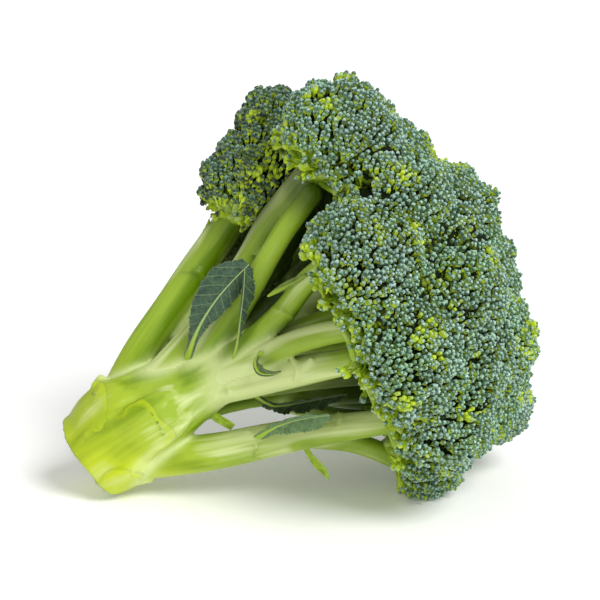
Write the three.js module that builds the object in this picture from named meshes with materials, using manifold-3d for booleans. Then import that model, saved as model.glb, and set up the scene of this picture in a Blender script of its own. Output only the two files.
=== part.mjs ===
// A head of broccoli, as picked: a cut stalk that fans into branches, a crown of bud florets and a few
// small leaves. It lies on its side on the floor, z = 0, on the lower rim of the cut and on two florets.
// Millimetres, +Z up, the stalk towards -X, the crown towards +X, and -Y is the side with the large leaf.

import * as THREE from "three";
import { mergeVertices } from "three/addons/utils/BufferGeometryUtils.js";
import Module from "manifold-3d";

const wasm = await Module();
wasm.setup();

// Driving dimensions
const GAP = 0.3; // clear space between neighbouring pieces
const HEAD_CENTRE = new THREE.Vector2(1, 3.2); // middle of the head's outline, moved to x = y = 0
const STEM_SIDES = 9;
const STEM_STEP = 10; // length of stem between two rings
const FLORET_SIDES = 12;
const FLORET_RINGS = 8;
const FLORET_SWELL = 0.035; // height of a floret's soft lumps, as a share of its radius
const FLORET_LUMPS = 3; // lumps from pole to pole
const LEAF_SIDES = 6;
const LEAF_STEPS = 7;
const LEAF_THICKNESS = 1.4;
const FAR = 400; // larger than the whole head
const WELD = 1e-4; // corners closer than this are one

// Each stem is a list of points x, y, z with the stem's radius there. It starts inside its carrier.
const stems = [
  {
    name: "main_stalk",
    path: [[-77.5, 0, 13.9, 17.6], [-70.7, 0, 19, 18.4], [-63.2, 0, 24.6, 18.9],
      [-54.9, -1, 30.4, 17.4], [-44.3, -3, 37.2, 14], [-32.4, -5, 44.7, 11.4], [-19.7, -6, 53, 9.8],
      [-5, -5, 62.5, 8.6], [12, -1, 71, 7.4], [32, 6, 76, 6.4], [48, 12, 77, 5.6]],
  },
  {
    name: "branch_upper_left",
    path: [[-69.3, 3, 32, 6.4], [-58.9, 8, 51, 6.4], [-47.2, 13, 67.6, 6.4], [-37.9, 16, 80.9, 6.6],
      [-29, 18, 92.9, 6.6], [-22, 18, 104, 5.9]],
  },
  {
    name: "branch_upper_mid",
    path: [[-60, -1, 33, 8], [-54.7, -1, 38.5, 8], [-39.8, -1, 55.3, 7.6], [-26.9, 1, 72, 6.8],
      [-18, 2, 86.2, 6.2], [-10.5, 0, 101, 5.8], [2, -4, 119, 5]],
  },
  {
    name: "branch_upper_near",
    path: [[-44, -4, 42, 5.6], [-34.2, -6, 53, 5.4], [-25, -7.5, 66.7, 4.8], [-17.6, -8.5, 79.5, 4.6],
      [-11.2, -9, 91, 4.3], [-5, -9.5, 101.5, 4.2], [4, -11, 114, 4]],
  },
  {
    name: "branch_upper_far",
    path: [[-58, 10, 34, 5.5], [-49, 19, 48, 5], [-36, 28, 67, 4.7], [-23.5, 34, 86, 4.4],
      [-15, 36, 103, 4.3], [-12, 34, 124, 4.2]],
  },
  {
    name: "branch_near_high",
    path: [[-37, -6, 45, 5.4], [-30.5, -9, 50.2, 5], [-20.5, -14, 58.4, 4.8], [-12.3, -17, 66.6, 4.6],
      [-4.5, -20, 75.5, 4.4], [1.7, -24, 85.1, 4.3], [8.5, -30, 93, 4.2]],
  },
  {
    name: "branch_near_mid",
    path: [[-34, -9, 44.5, 4.8], [-24.2, -14, 50.4, 4.6], [-13.4, -20, 57.4, 4.6],
      [-2.8, -26, 64.3, 4.5], [6.9, -31.5, 69, 4.4], [16.2, -37, 72.5, 4.2]],
  },
  {
    name: "branch_near_low",
    path: [[-42, -5, 37, 5.4], [-34.3, -8, 40.5, 5.8], [-19.6, -14, 46, 6], [-5.3, -21, 51.6, 5.9],
      [6.9, -28, 56.5, 5.4], [18, -35, 61, 4.9]],
  },
  {
    name: "branch_low",
    path: [[-66.8, -4, 13.2, 6.6], [-54.9, -6, 14, 6.9], [-40, -8, 16.8, 7.3], [-27.2, -9, 19.2, 7],
      [-13.8, -10, 22.6, 6.7], [0, -11, 25.9, 6.1], [12.6, -13, 28.8, 5.5], [26.7, -19, 32.9, 4.9],
      [36, -24, 36, 4.4]],
  },
  {
    name: "branch_low_tip",
    path: [[-4, -9, 24, 4], [6.5, -8, 23, 4], [18.2, -6, 21, 3.9], [27, -4, 17.6, 4], [34, -3, 14, 4]],
  },
  {
    name: "branch_far_low",
    path: [[-50, 6, 23, 6], [-37.2, 11, 26.5, 5.6], [-18.9, 18, 28.3, 5], [0, 25, 27.8, 4.6],
      [17.3, 30, 26, 4.4], [36, 33, 22, 4.2]],
  },
  {
    name: "branch_far_bottom",
    path: [[4, 26, 28, 3.8], [20, 22, 30, 3.7], [40, 19, 31, 3.6], [59, 19, 30, 3.4]],
  },
  {
    name: "branch_far_mid",
    path: [[-46, 6, 36, 7], [-34, 15, 40, 6.2], [-18, 26, 47, 5.6], [0, 36, 53, 5.2],
      [16, 43, 55, 4.8]],
  },
  {
    name: "branch_far_front",
    path: [[-10, 29, 49, 4.4], [10, 33, 46, 4.3], [28, 36, 45, 4.2], [46, 38, 45, 4]],
  },
  {
    name: "branch_far_high",
    path: [[-50, 8, 42, 6.4], [-38, 17, 53, 6], [-22, 28, 66, 5.6], [-6, 37, 78, 5.2],
      [8, 42, 86, 4.8]],
  },
  {
    name: "branch_far_top",
    path: [[-40, 8, 54, 5.6], [-28, 16, 68, 5.4], [-12, 24, 84, 5.2], [4, 29, 98, 5],
      [18, 32, 107, 4.6]],
  },
  {
    name: "branch_crown_far",
    path: [[-34, 0, 49, 6], [-22, 9, 59, 6.2], [-10, 17, 67.5, 6], [8, 25, 76, 5.6], [24, 29, 81, 5.2],
      [42, 34, 86, 4.8]],
  },
  {
    name: "branch_crown_high",
    path: [[-12, -5, 61, 5.6], [4, -7, 76, 5.4], [20, -7, 89, 5.2], [38, -6, 98, 4.8]],
  },
  {
    name: "branch_crown_near",
    path: [[-12, -8, 58, 5.2], [4, -15, 67, 5], [20, -20, 74, 4.8], [36, -24, 79, 4.4]],
  },
  {
    name: "branch_crown_low",
    path: [[-14, -4, 55, 5.6], [6, -5, 57, 5.4], [28, -7, 58, 5.2], [50, -8, 58, 4.8]],
  },
  {
    name: "branch_top_middle",
    path: [[-16, 23, 82, 3.8], [-8, 23, 96, 3.8], [0, 22, 108, 3.7], [6, 22, 118, 3.6]],
  },
  {
    name: "branch_near_top",
    path: [[12, -7, 83, 3.8], [20, -12, 95, 3.8], [30, -18, 108, 3.6]],
  },
  {
    name: "branch_front_low",
    path: [[24, -7, 58, 3.8], [38, -17, 57, 3.8], [50, -26, 57, 3.6]],
  },
  {
    name: "branch_front_far",
    path: [[26, -6, 58, 3.8], [40, 4, 55, 3.8], [54, 12, 52, 3.6]],
  },
  {
    name: "branch_front_bottom",
    path: [[8, -10, 27, 4], [24, -9, 30, 4], [38, -8, 33, 3.9], [52, -7, 35, 3.8]],
  },
];

// Each floret is a cluster of buds, held here as one soft ball: its middle x, y, z and its radius.
const florets = [
  { name: "floret_upper_left", at: [-18.2, 16, 112.4, 18.4] },
  { name: "floret_upper_far", at: [-9, 31, 131.6, 15] },
  { name: "floret_top", at: [13.4, -7, 132.6, 22.2] },
  { name: "floret_top_far", at: [31, 33, 115, 20.4] },
  { name: "floret_near_high", at: [20.7, -38, 95, 22.1] },
  { name: "floret_near_low", at: [34, -44, 65.5, 22.5] },
  { name: "floret_near_front", at: [50, -26, 81, 22] },
  { name: "floret_near_bottom", at: [46, -30, 37.5, 20.5] },
  { name: "floret_crown_high", at: [49.6, -6, 103.7, 21.1] },
  { name: "floret_crown_middle", at: [58, 14, 77.6, 23] },
  { name: "floret_crown_low", at: [63.7, -8, 58.8, 21.3] },
  { name: "floret_bottom", at: [44.6, -3.4, 16, 17.8] },
  { name: "floret_bottom_front", at: [71.6, 20, 28.6, 17.4] },
  { name: "floret_bottom_far", at: [47, 36, 17.6, 19.4] },
  { name: "floret_far_high", at: [14, 48, 93, 22.5] },
  { name: "floret_far_front", at: [51, 42, 91, 22.5] },
  { name: "floret_far_mid", at: [29, 51, 56, 22.5] },
  { name: "floret_far_low", at: [58, 42, 51, 22] },
  { name: "floret_top_middle", at: [10, 22, 126, 16.5] },
  { name: "floret_near_top", at: [35, -22, 115, 16.5] },
  { name: "floret_front_low", at: [56, -30, 57, 17] },
  { name: "floret_front_far", at: [64, 15, 51, 18.5] },
  { name: "floret_front_bottom", at: [60, -6, 35.5, 18] },
];

// Each leaf is a list of points x, y, z with half the blade's width there, and the way its blade spreads.
const leaves = [
  {
    name: "leaf_large",
    path: [[-41, -7.5, 52.5, 1.6], [-39.2, -12, 57.6, 1.6], [-37.2, -14.8, 63.4, 2],
      [-34, -16.2, 70.2, 6], [-28.8, -16.4, 78.1, 7.4], [-23.5, -15.6, 84.1, 6.3],
      [-17.9, -13.5, 89.4, 0.9]],
    across: [0.8, -0.1, -0.6],
  },
  {
    name: "leaf_folded",
    path: [[-24, -14.5, 54, 1.2], [-23, -19, 58.4, 1.4], [-21.7, -20.5, 64.6, 2.6],
      [-20.5, -21, 73.5, 4], [-19.4, -21, 82.5, 4], [-19, -20, 89.8, 1]],
    across: [0.5, 0.85, 0],
  },
  {
    name: "leaf_high_stub",
    path: [[-11, -22.5, 80.5, 1.2], [-6.3, -25, 83.8, 2], [-1.7, -28, 87, 1.8], [2, -31, 90, 0.8]],
    across: [0.6, -0.2, -0.7],
  },
  {
    name: "leaf_collar",
    path: [[-13.2, -24.8, 61, 1.4], [-15.2, -26.4, 57.6, 2], [-14.2, -27.6, 54.8, 2.4],
      [-10.4, -28, 54, 2.2], [-6.6, -27.6, 54.8, 0.9]],
    across: [0.3, -0.9, 0.4],
  },
  {
    name: "leaf_low",
    path: [[-16, -14, 25.4, 1.6], [-12.6, -18, 29.2, 2.6], [-7.8, -21, 32.8, 4.4],
      [-1.8, -22.8, 35.4, 5.2], [4.2, -24.4, 37.2, 4.8], [10.6, -26, 38.4, 1.6]],
    across: [-0.5, -0.5, 0.7],
  },
  {
    name: "leaf_behind",
    path: [[-16.5, -11, 41.5, 1.6], [-9.5, -7, 35.8, 3.4], [0, -4, 35.8, 4.6], [9, -3, 37.2, 4.2],
      [17, -3, 38.6, 1.2]],
    across: [-0.2, -0.7, 0.7],
  },
  {
    name: "leaf_hanging",
    path: [[1.6, -12, 22.4, 1.2], [4, -14.4, 18.8, 1.4], [6.2, -15.6, 16.4, 2], [8.6, -16, 14, 1.8],
      [10.3, -16, 10.6, 0.8]],
    across: [0.7, -0.2, 0.6],
  },
  {
    name: "leaf_gap_stub",
    path: [[-34, -6.4, 36, 1.6], [-31, -7.4, 32, 1.8], [-26.6, -8, 29.2, 1.5], [-24.2, -8, 27.6, 1]],
    across: [0.3, -0.8, 0.5],
  },
];

// Materials, with the colours of the real tissue
const finish = (color, roughness) => new THREE.MeshStandardMaterial({ color, roughness, metalness: 0 });
const STALK_FINISH = finish(0xc4cf4a, 0.45);
const BRANCH_FINISH = finish(0xa9c552, 0.45);
const FLORET_FINISH = finish(0x3f6b4e, 0.75);
const LEAF_FINISH = finish(0x3b5b4c, 0.6);

// A closed mesh as a solid that can be cut
function solidOf(geometry) {
  const bare = geometry.clone();
  bare.deleteAttribute("normal");
  bare.deleteAttribute("uv");
  const welded = mergeVertices(bare, WELD);
  return new wasm.Manifold(new wasm.Mesh({
    numProp: 3,
    vertProperties: new Float32Array(welded.attributes.position.array),
    triVerts: new Uint32Array(welded.index.array),
  }));
}

// The solid's largest body, back as a geometry: a cut can leave slivers beside it
function geometryOf(solid) {
  const bodies = solid.decompose();
  bodies.sort((one, other) => other.volume() - one.volume());
  const mesh = bodies[0].getMesh();
  const geometry = new THREE.BufferGeometry();
  geometry.setAttribute("position", new THREE.BufferAttribute(new Float32Array(mesh.vertProperties), 3));
  geometry.setIndex(new THREE.BufferAttribute(new Uint32Array(mesh.triVerts), 1));
  geometry.computeVertexNormals();
  return geometry;
}

// A closed cylinder bent along points x, y, z, width. Its section is an ellipse of half sizes width and
// depth(width), with the wide way along `across`. `grow` adds to the section and to both ends.
function bentCylinder({ path, across, depth, sides, steps, grow = 0 }) {
  const places = path.map(([x, y, z]) => new THREE.Vector3(x, y, z));
  const curve = new THREE.CatmullRomCurve3(places, false, "centripetal");
  const last = path.length - 1;
  const widths = new THREE.SplineCurve(path.map((point, i) => new THREE.Vector2(i / last, point[3])));
  const geometry = new THREE.CylinderGeometry(1, 1, 1, sides, steps);
  const position = geometry.attributes.position;
  const wide = new THREE.Vector3();
  const thick = new THREE.Vector3();
  const place = new THREE.Vector3();
  for (let i = 0; i < position.count; i += 1) {
    const along = THREE.MathUtils.clamp(position.getY(i) + 0.5, 0, 1);
    const tangent = curve.getTangent(along);
    const width = widths.getPoint(along).y;
    wide.copy(across).addScaledVector(tangent, -across.dot(tangent)).normalize();
    thick.crossVectors(wide, tangent);
    curve.getPoint(along, place);
    place.addScaledVector(wide, position.getX(i) * (width + grow));
    place.addScaledVector(thick, position.getZ(i) * (depth(width) + grow));
    const end = along === 0 ? -grow : along === 1 ? grow : 0;
    place.addScaledVector(tangent, end);
    position.setXYZ(i, place.x, place.y, place.z);
  }
  return geometry;
}

function stemSolid({ path }, grow = 0) {
  const places = path.map(([x, y, z]) => new THREE.Vector3(x, y, z));
  const length = places.slice(1).reduce((sum, place, i) => sum + place.distanceTo(places[i]), 0);
  return solidOf(bentCylinder({
    path,
    across: new THREE.Vector3(0, 1, 0),
    depth: (radius) => radius,
    sides: STEM_SIDES,
    steps: Math.round(length / STEM_STEP),
    grow,
  }));
}

function leafSolid({ path, across }, grow = 0) {
  return solidOf(bentCylinder({
    path,
    across: new THREE.Vector3(...across),
    depth: (halfWidth) => Math.min(LEAF_THICKNESS, halfWidth * 2) / 2,
    sides: LEAF_SIDES,
    steps: LEAF_STEPS,
    grow,
  }));
}

// A ball with soft lumps: the radius swells and dips by FLORET_SWELL in both directions
function floretSolid({ at }) {
  const [x, y, z, radius] = at;
  const geometry = new THREE.SphereGeometry(radius, FLORET_SIDES, FLORET_RINGS);
  const position = geometry.attributes.position;
  const point = new THREE.Vector3();
  for (let i = 0; i < position.count; i += 1) {
    point.fromBufferAttribute(position, i);
    const turn = Math.atan2(point.z, point.x);
    const tilt = Math.acos(THREE.MathUtils.clamp(point.y / radius, -1, 1));
    const lump = Math.sin(FLORET_LUMPS * turn + x) * Math.sin(FLORET_LUMPS * tilt) * Math.sin(tilt);
    point.multiplyScalar(1 + FLORET_SWELL * lump);
    position.setXYZ(i, point.x + x, point.y + y, point.z + z);
  }
  return solidOf(geometry);
}

// Everything beyond the plane through `point`, on the side that `normal` points to
function beyond(point, normal) {
  const box = new THREE.BoxGeometry(FAR, FAR, FAR);
  box.translate(0, 0, FAR / 2);
  box.applyQuaternion(new THREE.Quaternion().setFromUnitVectors(new THREE.Vector3(0, 0, 1), normal));
  box.translate(point.x, point.y, point.z);
  return solidOf(box);
}

const belowFloor = beyond(new THREE.Vector3(0, 0, 0), new THREE.Vector3(0, 0, -1));

// Two swollen balls meet on the plane where both spheres cross, and each stops half a gap before it
function trimToCell(solid, own, others) {
  const centre = new THREE.Vector3(...own.at);
  let trimmed = solid;
  for (const other of others) {
    const away = new THREE.Vector3(...other.at).sub(centre);
    const distance = away.length();
    const reach = (own.at[3] + other.at[3]) * (1 + FLORET_SWELL);
    if (other !== own && distance < reach) {
      away.normalize();
      const share = (distance ** 2 + own.at[3] ** 2 - other.at[3] ** 2) / (2 * distance);
      const meeting = centre.clone().addScaledVector(away, share - GAP / 2);
      trimmed = trimmed.subtract(beyond(meeting, away));
    }
  }
  return trimmed;
}

// A piece is cut by every grown stem or leaf that it would touch
const grownStems = stems.map((stem) => stemSolid(stem, GAP));
const grownLeaves = leaves.map((leaf) => leafSolid(leaf, GAP));
function clearOf(solid, cutters) {
  const touching = cutters.filter((cutter) => !solid.intersect(cutter).isEmpty());
  return touching.reduce((rest, cutter) => rest.subtract(cutter), solid);
}

const head = new THREE.Group();
head.position.set(-HEAD_CENTRE.x, -HEAD_CENTRE.y, 0);

function addPiece(name, solid, material) {
  const mesh = new THREE.Mesh(geometryOf(solid), material);
  mesh.name = name;
  head.add(mesh);
}

stems.forEach((stem, i) => {
  const solid = clearOf(stemSolid(stem), grownStems.slice(0, i)).subtract(belowFloor);
  addPiece(stem.name, solid, i === 0 ? STALK_FINISH : BRANCH_FINISH);
});

florets.forEach((floret) => {
  const cell = trimToCell(floretSolid(floret), floret, florets).subtract(belowFloor);
  addPiece(floret.name, clearOf(cell, [...grownStems, ...grownLeaves]), FLORET_FINISH);
});

leaves.forEach((leaf) => {
  addPiece(leaf.name, clearOf(leafSolid(leaf), grownStems), LEAF_FINISH);
});

export default head;
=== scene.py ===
import math

import bpy
import numpy as np
from bpy.props import FloatProperty, FloatVectorProperty, PointerProperty
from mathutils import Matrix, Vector


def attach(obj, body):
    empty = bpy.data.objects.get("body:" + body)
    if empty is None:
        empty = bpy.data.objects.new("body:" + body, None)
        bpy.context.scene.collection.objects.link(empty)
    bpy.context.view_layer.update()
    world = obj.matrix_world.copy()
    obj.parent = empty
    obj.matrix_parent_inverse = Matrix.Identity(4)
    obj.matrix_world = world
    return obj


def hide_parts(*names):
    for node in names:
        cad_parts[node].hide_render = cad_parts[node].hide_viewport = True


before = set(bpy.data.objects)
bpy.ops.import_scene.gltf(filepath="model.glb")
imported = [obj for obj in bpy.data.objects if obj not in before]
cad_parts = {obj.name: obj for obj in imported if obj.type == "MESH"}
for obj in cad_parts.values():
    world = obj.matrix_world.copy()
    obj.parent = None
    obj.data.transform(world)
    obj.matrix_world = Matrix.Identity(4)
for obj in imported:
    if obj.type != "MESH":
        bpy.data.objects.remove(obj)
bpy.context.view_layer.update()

bl_info = {
    "name": "Broccoli head",
    "version": (1, 0, 0),
    "blender": (4, 5, 0),
    "location": "3D View > Sidebar > Broccoli",
    "description": "Builds the stems, florets and leaves of a head of broccoli around its frame",
    "category": "Add Mesh",
}

MM = 0.001
GOLDEN_ANGLE = math.pi * (3 - math.sqrt(5))
FULL_TURN = 6.28
SEED = 2

# The lists and lengths below are in millimetres, and this point of them is the frame's origin
HEAD_CENTRE = np.array([1, 3.2, 0])

# Each stem is a list of points x, y, z with the stem's radius there. It starts inside its carrier.
STEMS = {
    "main_stalk": [
        [-77.5, 0, 13.9, 17.6], [-70.7, 0, 19, 18.4], [-63.2, 0, 24.6, 18.9], [-54.9, -1, 30.4, 17.4],
        [-44.3, -3, 37.2, 14], [-32.4, -5, 44.7, 11.4], [-19.7, -6, 53, 9.8], [-5, -5, 62.5, 8.6],
        [12, -1, 71, 7.4], [32, 6, 76, 6.4], [48, 12, 77, 5.6]],
    "branch_upper_left": [
        [-69.3, 3, 32, 6.4], [-58.9, 8, 51, 6.4], [-47.2, 13, 67.6, 6.4], [-37.9, 16, 80.9, 6.6],
        [-29, 18, 92.9, 6.6], [-22, 18, 104, 5.9]],
    "branch_upper_mid": [
        [-60, -1, 33, 8], [-54.7, -1, 38.5, 8], [-39.8, -1, 55.3, 7.6], [-26.9, 1, 72, 6.8],
        [-18, 2, 86.2, 6.2], [-10.5, 0, 101, 5.8], [2, -4, 119, 5]],
    "branch_upper_near": [
        [-44, -4, 42, 5.6], [-34.2, -6, 53, 5.4], [-25, -7.5, 66.7, 4.8], [-17.6, -8.5, 79.5, 4.6],
        [-11.2, -9, 91, 4.3], [-5, -9.5, 101.5, 4.2], [4, -11, 114, 4]],
    "branch_upper_far": [
        [-58, 10, 34, 5.5], [-49, 19, 48, 5], [-36, 28, 67, 4.7], [-23.5, 34, 86, 4.4],
        [-15, 36, 103, 4.3], [-12, 34, 124, 4.2]],
    "branch_near_high": [
        [-37, -6, 45, 5.4], [-30.5, -9, 50.2, 5], [-20.5, -14, 58.4, 4.8], [-12.3, -17, 66.6, 4.6],
        [-4.5, -20, 75.5, 4.4], [1.7, -24, 85.1, 4.3], [8.5, -30, 93, 4.2]],
    "branch_near_mid": [
        [-34, -9, 44.5, 4.8], [-24.2, -14, 50.4, 4.6], [-13.4, -20, 57.4, 4.6], [-2.8, -26, 64.3, 4.5],
        [6.9, -31.5, 69, 4.4], [16.2, -37, 72.5, 4.2]],
    "branch_near_low": [
        [-42, -5, 37, 5.4], [-34.3, -8, 40.5, 5.8], [-19.6, -14, 46, 6], [-5.3, -21, 51.6, 5.9],
        [6.9, -28, 56.5, 5.4], [18, -35, 61, 4.9]],
    "branch_low": [
        [-66.8, -4, 13.2, 6.6], [-54.9, -6, 14, 6.9], [-40, -8, 16.8, 7.3], [-27.2, -9, 19.2, 7],
        [-13.8, -10, 22.6, 6.7], [0, -11, 25.9, 6.1], [12.6, -13, 28.8, 5.5], [26.7, -19, 32.9, 4.9],
        [36, -24, 36, 4.4]],
    "branch_low_tip": [
        [-4, -9, 24, 4], [6.5, -8, 23, 4], [18.2, -6, 21, 3.9], [27, -4, 17.6, 4], [34, -3, 14, 4]],
    "branch_far_low": [
        [-50, 6, 23, 6], [-37.2, 11, 27.6, 4.8], [-18.9, 18, 29.8, 4.1], [0, 25, 29, 4.2],
        [17.3, 30, 26, 4.4], [36, 33, 22, 4.2]],
    "branch_far_bottom": [[4, 26, 28, 3.8], [20, 22, 30, 3.7], [40, 19, 31, 3.6], [59, 19, 30, 3.4]],
    "branch_far_mid": [
        [-46, 6, 36, 7], [-34, 15, 40, 6.2], [-18, 26, 47, 5.6], [0, 36, 53, 5.2], [16, 43, 55, 4.8]],
    "branch_far_front": [[-10, 29, 49, 4.4], [10, 33, 46, 4.3], [28, 36, 45, 4.2], [46, 38, 45, 4]],
    "branch_far_high": [
        [-50, 8, 42, 6.4], [-38, 17, 53, 6], [-22, 28, 66, 5.6], [-6, 37, 78, 5.2], [8, 42, 86, 4.8]],
    "branch_far_top": [
        [-40, 8, 54, 5.6], [-28, 16, 68, 5.4], [-12, 24, 84, 5.2], [4, 29, 98, 5], [18, 32, 107, 4.6]],
    "branch_crown_far": [
        [-34, 0, 49, 6], [-22, 9, 59, 6.2], [-10, 17, 67.5, 6], [8, 25, 76, 5.6], [24, 29, 81, 5.2],
        [42, 34, 86, 4.8]],
    "branch_crown_high": [[-12, -5, 61, 5.6], [4, -7, 76, 5.4], [20, -7, 89, 5.2], [38, -6, 98, 4.8]],
    "branch_crown_near": [[-12, -8, 58, 5.2], [4, -15, 67, 5], [20, -20, 74, 4.8], [36, -24, 79, 4.4]],
    "branch_crown_low": [[-14, -4, 55, 5.6], [6, -5, 57, 5.4], [28, -7, 58, 5.2], [50, -8, 58, 4.8]],
    "branch_top_middle": [[-16, 23, 82, 3.8], [-8, 23, 96, 3.8], [0, 22, 108, 3.7], [6, 22, 118, 3.6]],
    "branch_near_top": [[12, -7, 83, 3.8], [20, -12, 95, 3.8], [30, -18, 108, 3.6]],
    "branch_front_low": [[24, -7, 58, 3.8], [38, -17, 57, 3.8], [50, -26, 57, 3.6]],
    "branch_front_far": [[26, -6, 58, 3.8], [40, 4, 55, 3.8], [54, 12, 52, 3.6]],
    "branch_front_bottom": [[8, -10, 27, 4], [24, -9, 30, 4], [38, -8, 33, 3.9], [52, -7, 35, 3.8]],
}

# Leaf cushions of the stalk: the place along it of the cushion's upper edge, its angle round the stalk
# (0 is the far side, 90 the top), half its width and its height, in millimetres and degrees
CUSHIONS = [
    {"top": 22, "angle": 118, "half_width": 11, "height": 1.6},
    {"top": 38, "angle": 181, "half_width": 11, "height": 1.7},
    {"top": 15.2, "angle": 230, "half_width": 9.5, "height": 1.5},
    {"top": 27, "angle": 20, "half_width": 12, "height": 1.5},
    {"top": 33, "angle": 320, "half_width": 11, "height": 1.5},
]
CUSHION_CORNER = 8

# Torn ends of the leaf veins in the cushions: place along the stalk, angle round it and radius
PITS = [
    [35.6, 168, 0.9], [35.7, 175, 0.6], [35.3, 180, 1.2], [35.0, 186, 0.7], [34.6, 191, 1.0],
    [34.0, 197, 0.9], [12.0, 238, 1.1], [12.6, 230, 0.5], [17.2, 106, 1.0], [18, 113, 0.7],
    [18.6, 121, 0.5], [24.6, 12, 1.0], [25, 22, 0.8], [30.8, 313, 1.0], [31, 323, 0.8],
]

# How dark a stem's skin is: 0 is pale, 1 is full green, and below 0 the pale skin covers more of it. The
# other stems draw theirs at random.
DARKNESS = {"main_stalk": 0.65, "branch_near_low": -0.3, "branch_low": -0.15, "branch_near_high": 0.95,
            "branch_near_mid": 0.1, "branch_upper_left": 0.65, "branch_upper_mid": 0.3,
            "branch_upper_near": 0.9}

# Soft darker streaks: the stem, where along it they start and end, the angle round it and half the width
STREAKS = [
    ["main_stalk", 6, 31, 190, 6], ["main_stalk", 44, 78, 140, 5], ["main_stalk", 8, 30, 60, 6],
    ["main_stalk", 12, 44, 300, 6], ["branch_upper_left", 8, 74, 208, 4.5],
    ["branch_upper_left", 30, 80, 330, 4], ["branch_low", 4, 40, 190, 3], ["branch_low", 62, 120, 215, 3],
    ["branch_upper_mid", 20, 95, 225, 4], ["branch_near_high", 10, 40, 130, 3],
    ["branch_far_mid", 10, 70, 20, 4], ["branch_far_low", 10, 80, 330, 4],
    ["branch_near_mid", 0, 32, 130, 3], ["branch_near_low", 12, 44, 115, 3], ["branch_low", 2, 34, 165, 4],
]

# Thin shoots between the branches, listed as the stems are
SHOOTS = {
    "shoot_far": [
        [-46, 14, 56, 4.2], [-32, 20, 74, 4], [-18.5, 25, 91, 3.8], [-10, 29, 112, 3.6], [-8, 30, 126, 3.2]],
    "shoot_middle": [
        [-30, 4, 58, 4], [-16, 10, 74, 4], [-6, 14, 88, 3.8], [4, 18, 104, 3.6], [8, 20, 118, 3.2]],
    "shoot_near": [
        [-24, 0, 58, 4.2], [-12, 5, 68, 4.2], [-1.4, 8, 79, 4.2], [8, 12, 93, 3.8], [12, 16, 110, 3.2]],
    "shoot_low": [[-34, 2, 37, 4.4], [-10, 9, 38, 4], [8, 13, 39, 3.8], [26, 14, 40, 3.4]],
    "shoot_bottom": [[-8, 23, 27, 3.6], [2, 18, 25.6, 3.4], [12, 12, 25, 3.3], [28, 5, 26, 3.2]],
}

# Small outgrowths of the skin: the torn foot of a leaf on the long upper branch, a curled stub in the axil
# under the large leaf, and a broken leaf's stub on the lower near branch. Points x, y, z and radius.
OUTGROWTHS = [
    [[-38.2, 14.6, 85.5, 0.8], [-36.9, 14.6, 89.5, 1.5], [-35.2, 14.6, 93.5, 1.4], [-33.6, 15, 97.5, 0.9],
     [-32.6, 15.5, 101, 0.5]],
    [[-38.6, -9, 49.8, 1.1], [-36.8, -11.4, 49.2, 1.2], [-35.4, -12.6, 50, 1.0], [-35, -12.6, 51.4, 0.8]],
    [[0, -27.6, 56.2, 1.8], [2.2, -29.8, 57.6, 1.7], [3.4, -31, 59.2, 1.3], [4, -31.4, 60.6, 0.9]],
]

# Scars of small cut leaves: the stem, the place along it, the angle round it, the arc that it spans, its
# thickness and, for three of them, how far it stands off the skin, in millimetres and degrees
SCARS = [
    {"stem": "main_stalk", "along": 20.2, "angle": 86, "span": 20, "size": 1.9, "lift": 1.6},
    {"stem": "main_stalk", "along": 21, "angle": 100, "span": 30, "size": 1.3, "lift": 0.8},
    {"stem": "main_stalk", "along": 13.4, "angle": 252, "span": 14, "size": 1.6, "lift": 1.4},
    {"stem": "main_stalk", "along": 26.6, "angle": 20, "span": 30, "size": 1.4},
    {"stem": "branch_upper_left", "along": 59, "angle": 188, "span": 90, "size": 1.2},
    {"stem": "branch_near_high", "along": 47, "angle": 190, "span": 170, "size": 0.6},
    {"stem": "branch_near_low", "along": 52, "angle": 150, "span": 90, "size": 1.1},
    {"stem": "branch_near_low", "along": 22, "angle": 175, "span": 70, "size": 0.6},
    {"stem": "branch_upper_mid", "along": 58, "angle": 150, "span": 90, "size": 0.6},
    {"stem": "branch_upper_mid", "along": 76, "angle": 210, "span": 80, "size": 0.6},
    {"stem": "branch_low", "along": 53, "angle": 160, "span": 110, "size": 0.7},
    {"stem": "branch_low", "along": 86, "angle": 120, "span": 90, "size": 0.6},
    {"stem": "branch_far_high", "along": 45, "angle": 20, "span": 110, "size": 0.7},
    {"stem": "branch_far_mid", "along": 38, "angle": 340, "span": 110, "size": 0.7},
    {"stem": "branch_far_low", "along": 50, "angle": 0, "span": 100, "size": 0.7},
    {"stem": "branch_upper_far", "along": 48, "angle": 30, "span": 110, "size": 0.7},
]

# Each floret is a ball of buds: its middle x, y, z and its radius
FLORETS = {
    "floret_upper_left": [-18.2, 16, 112.4, 18.4],
    "floret_upper_far": [-9, 31, 131.6, 15],
    "floret_top": [13.4, -7, 132.6, 22.2],
    "floret_top_far": [31, 33, 115, 20.4],
    "floret_near_high": [20.7, -38, 95, 22.1],
    "floret_near_low": [34, -44, 65.5, 22.5],
    "floret_near_front": [50, -26, 81, 22],
    "floret_near_bottom": [46, -30, 37.5, 20.5],
    "floret_crown_high": [49.6, -6, 103.7, 21.1],
    "floret_crown_middle": [58, 14, 77.6, 23],
    "floret_crown_low": [63.7, -8, 58.8, 21.3],
    "floret_bottom": [44.6, -3.4, 16, 17.8],
    "floret_bottom_front": [71.6, 20, 28.6, 17.4],
    "floret_bottom_far": [47, 36, 17.6, 19.4],
    "floret_far_high": [14, 48, 93, 22.5],
    "floret_far_front": [51, 42, 91, 22.5],
    "floret_far_mid": [29, 51, 56, 22.5],
    "floret_far_low": [58, 42, 51, 22],
    "floret_top_middle": [10, 22, 126, 16.5],
    "floret_near_top": [35, -22, 115, 16.5],
    "floret_front_low": [56, -30, 57, 17],
    "floret_front_far": [64, 15, 51, 18.5],
    "floret_front_bottom": [60, -6, 35.5, 18],
}
RIM_ANGLE = 118  # how far round a floret its buds go, in degrees from its top
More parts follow.
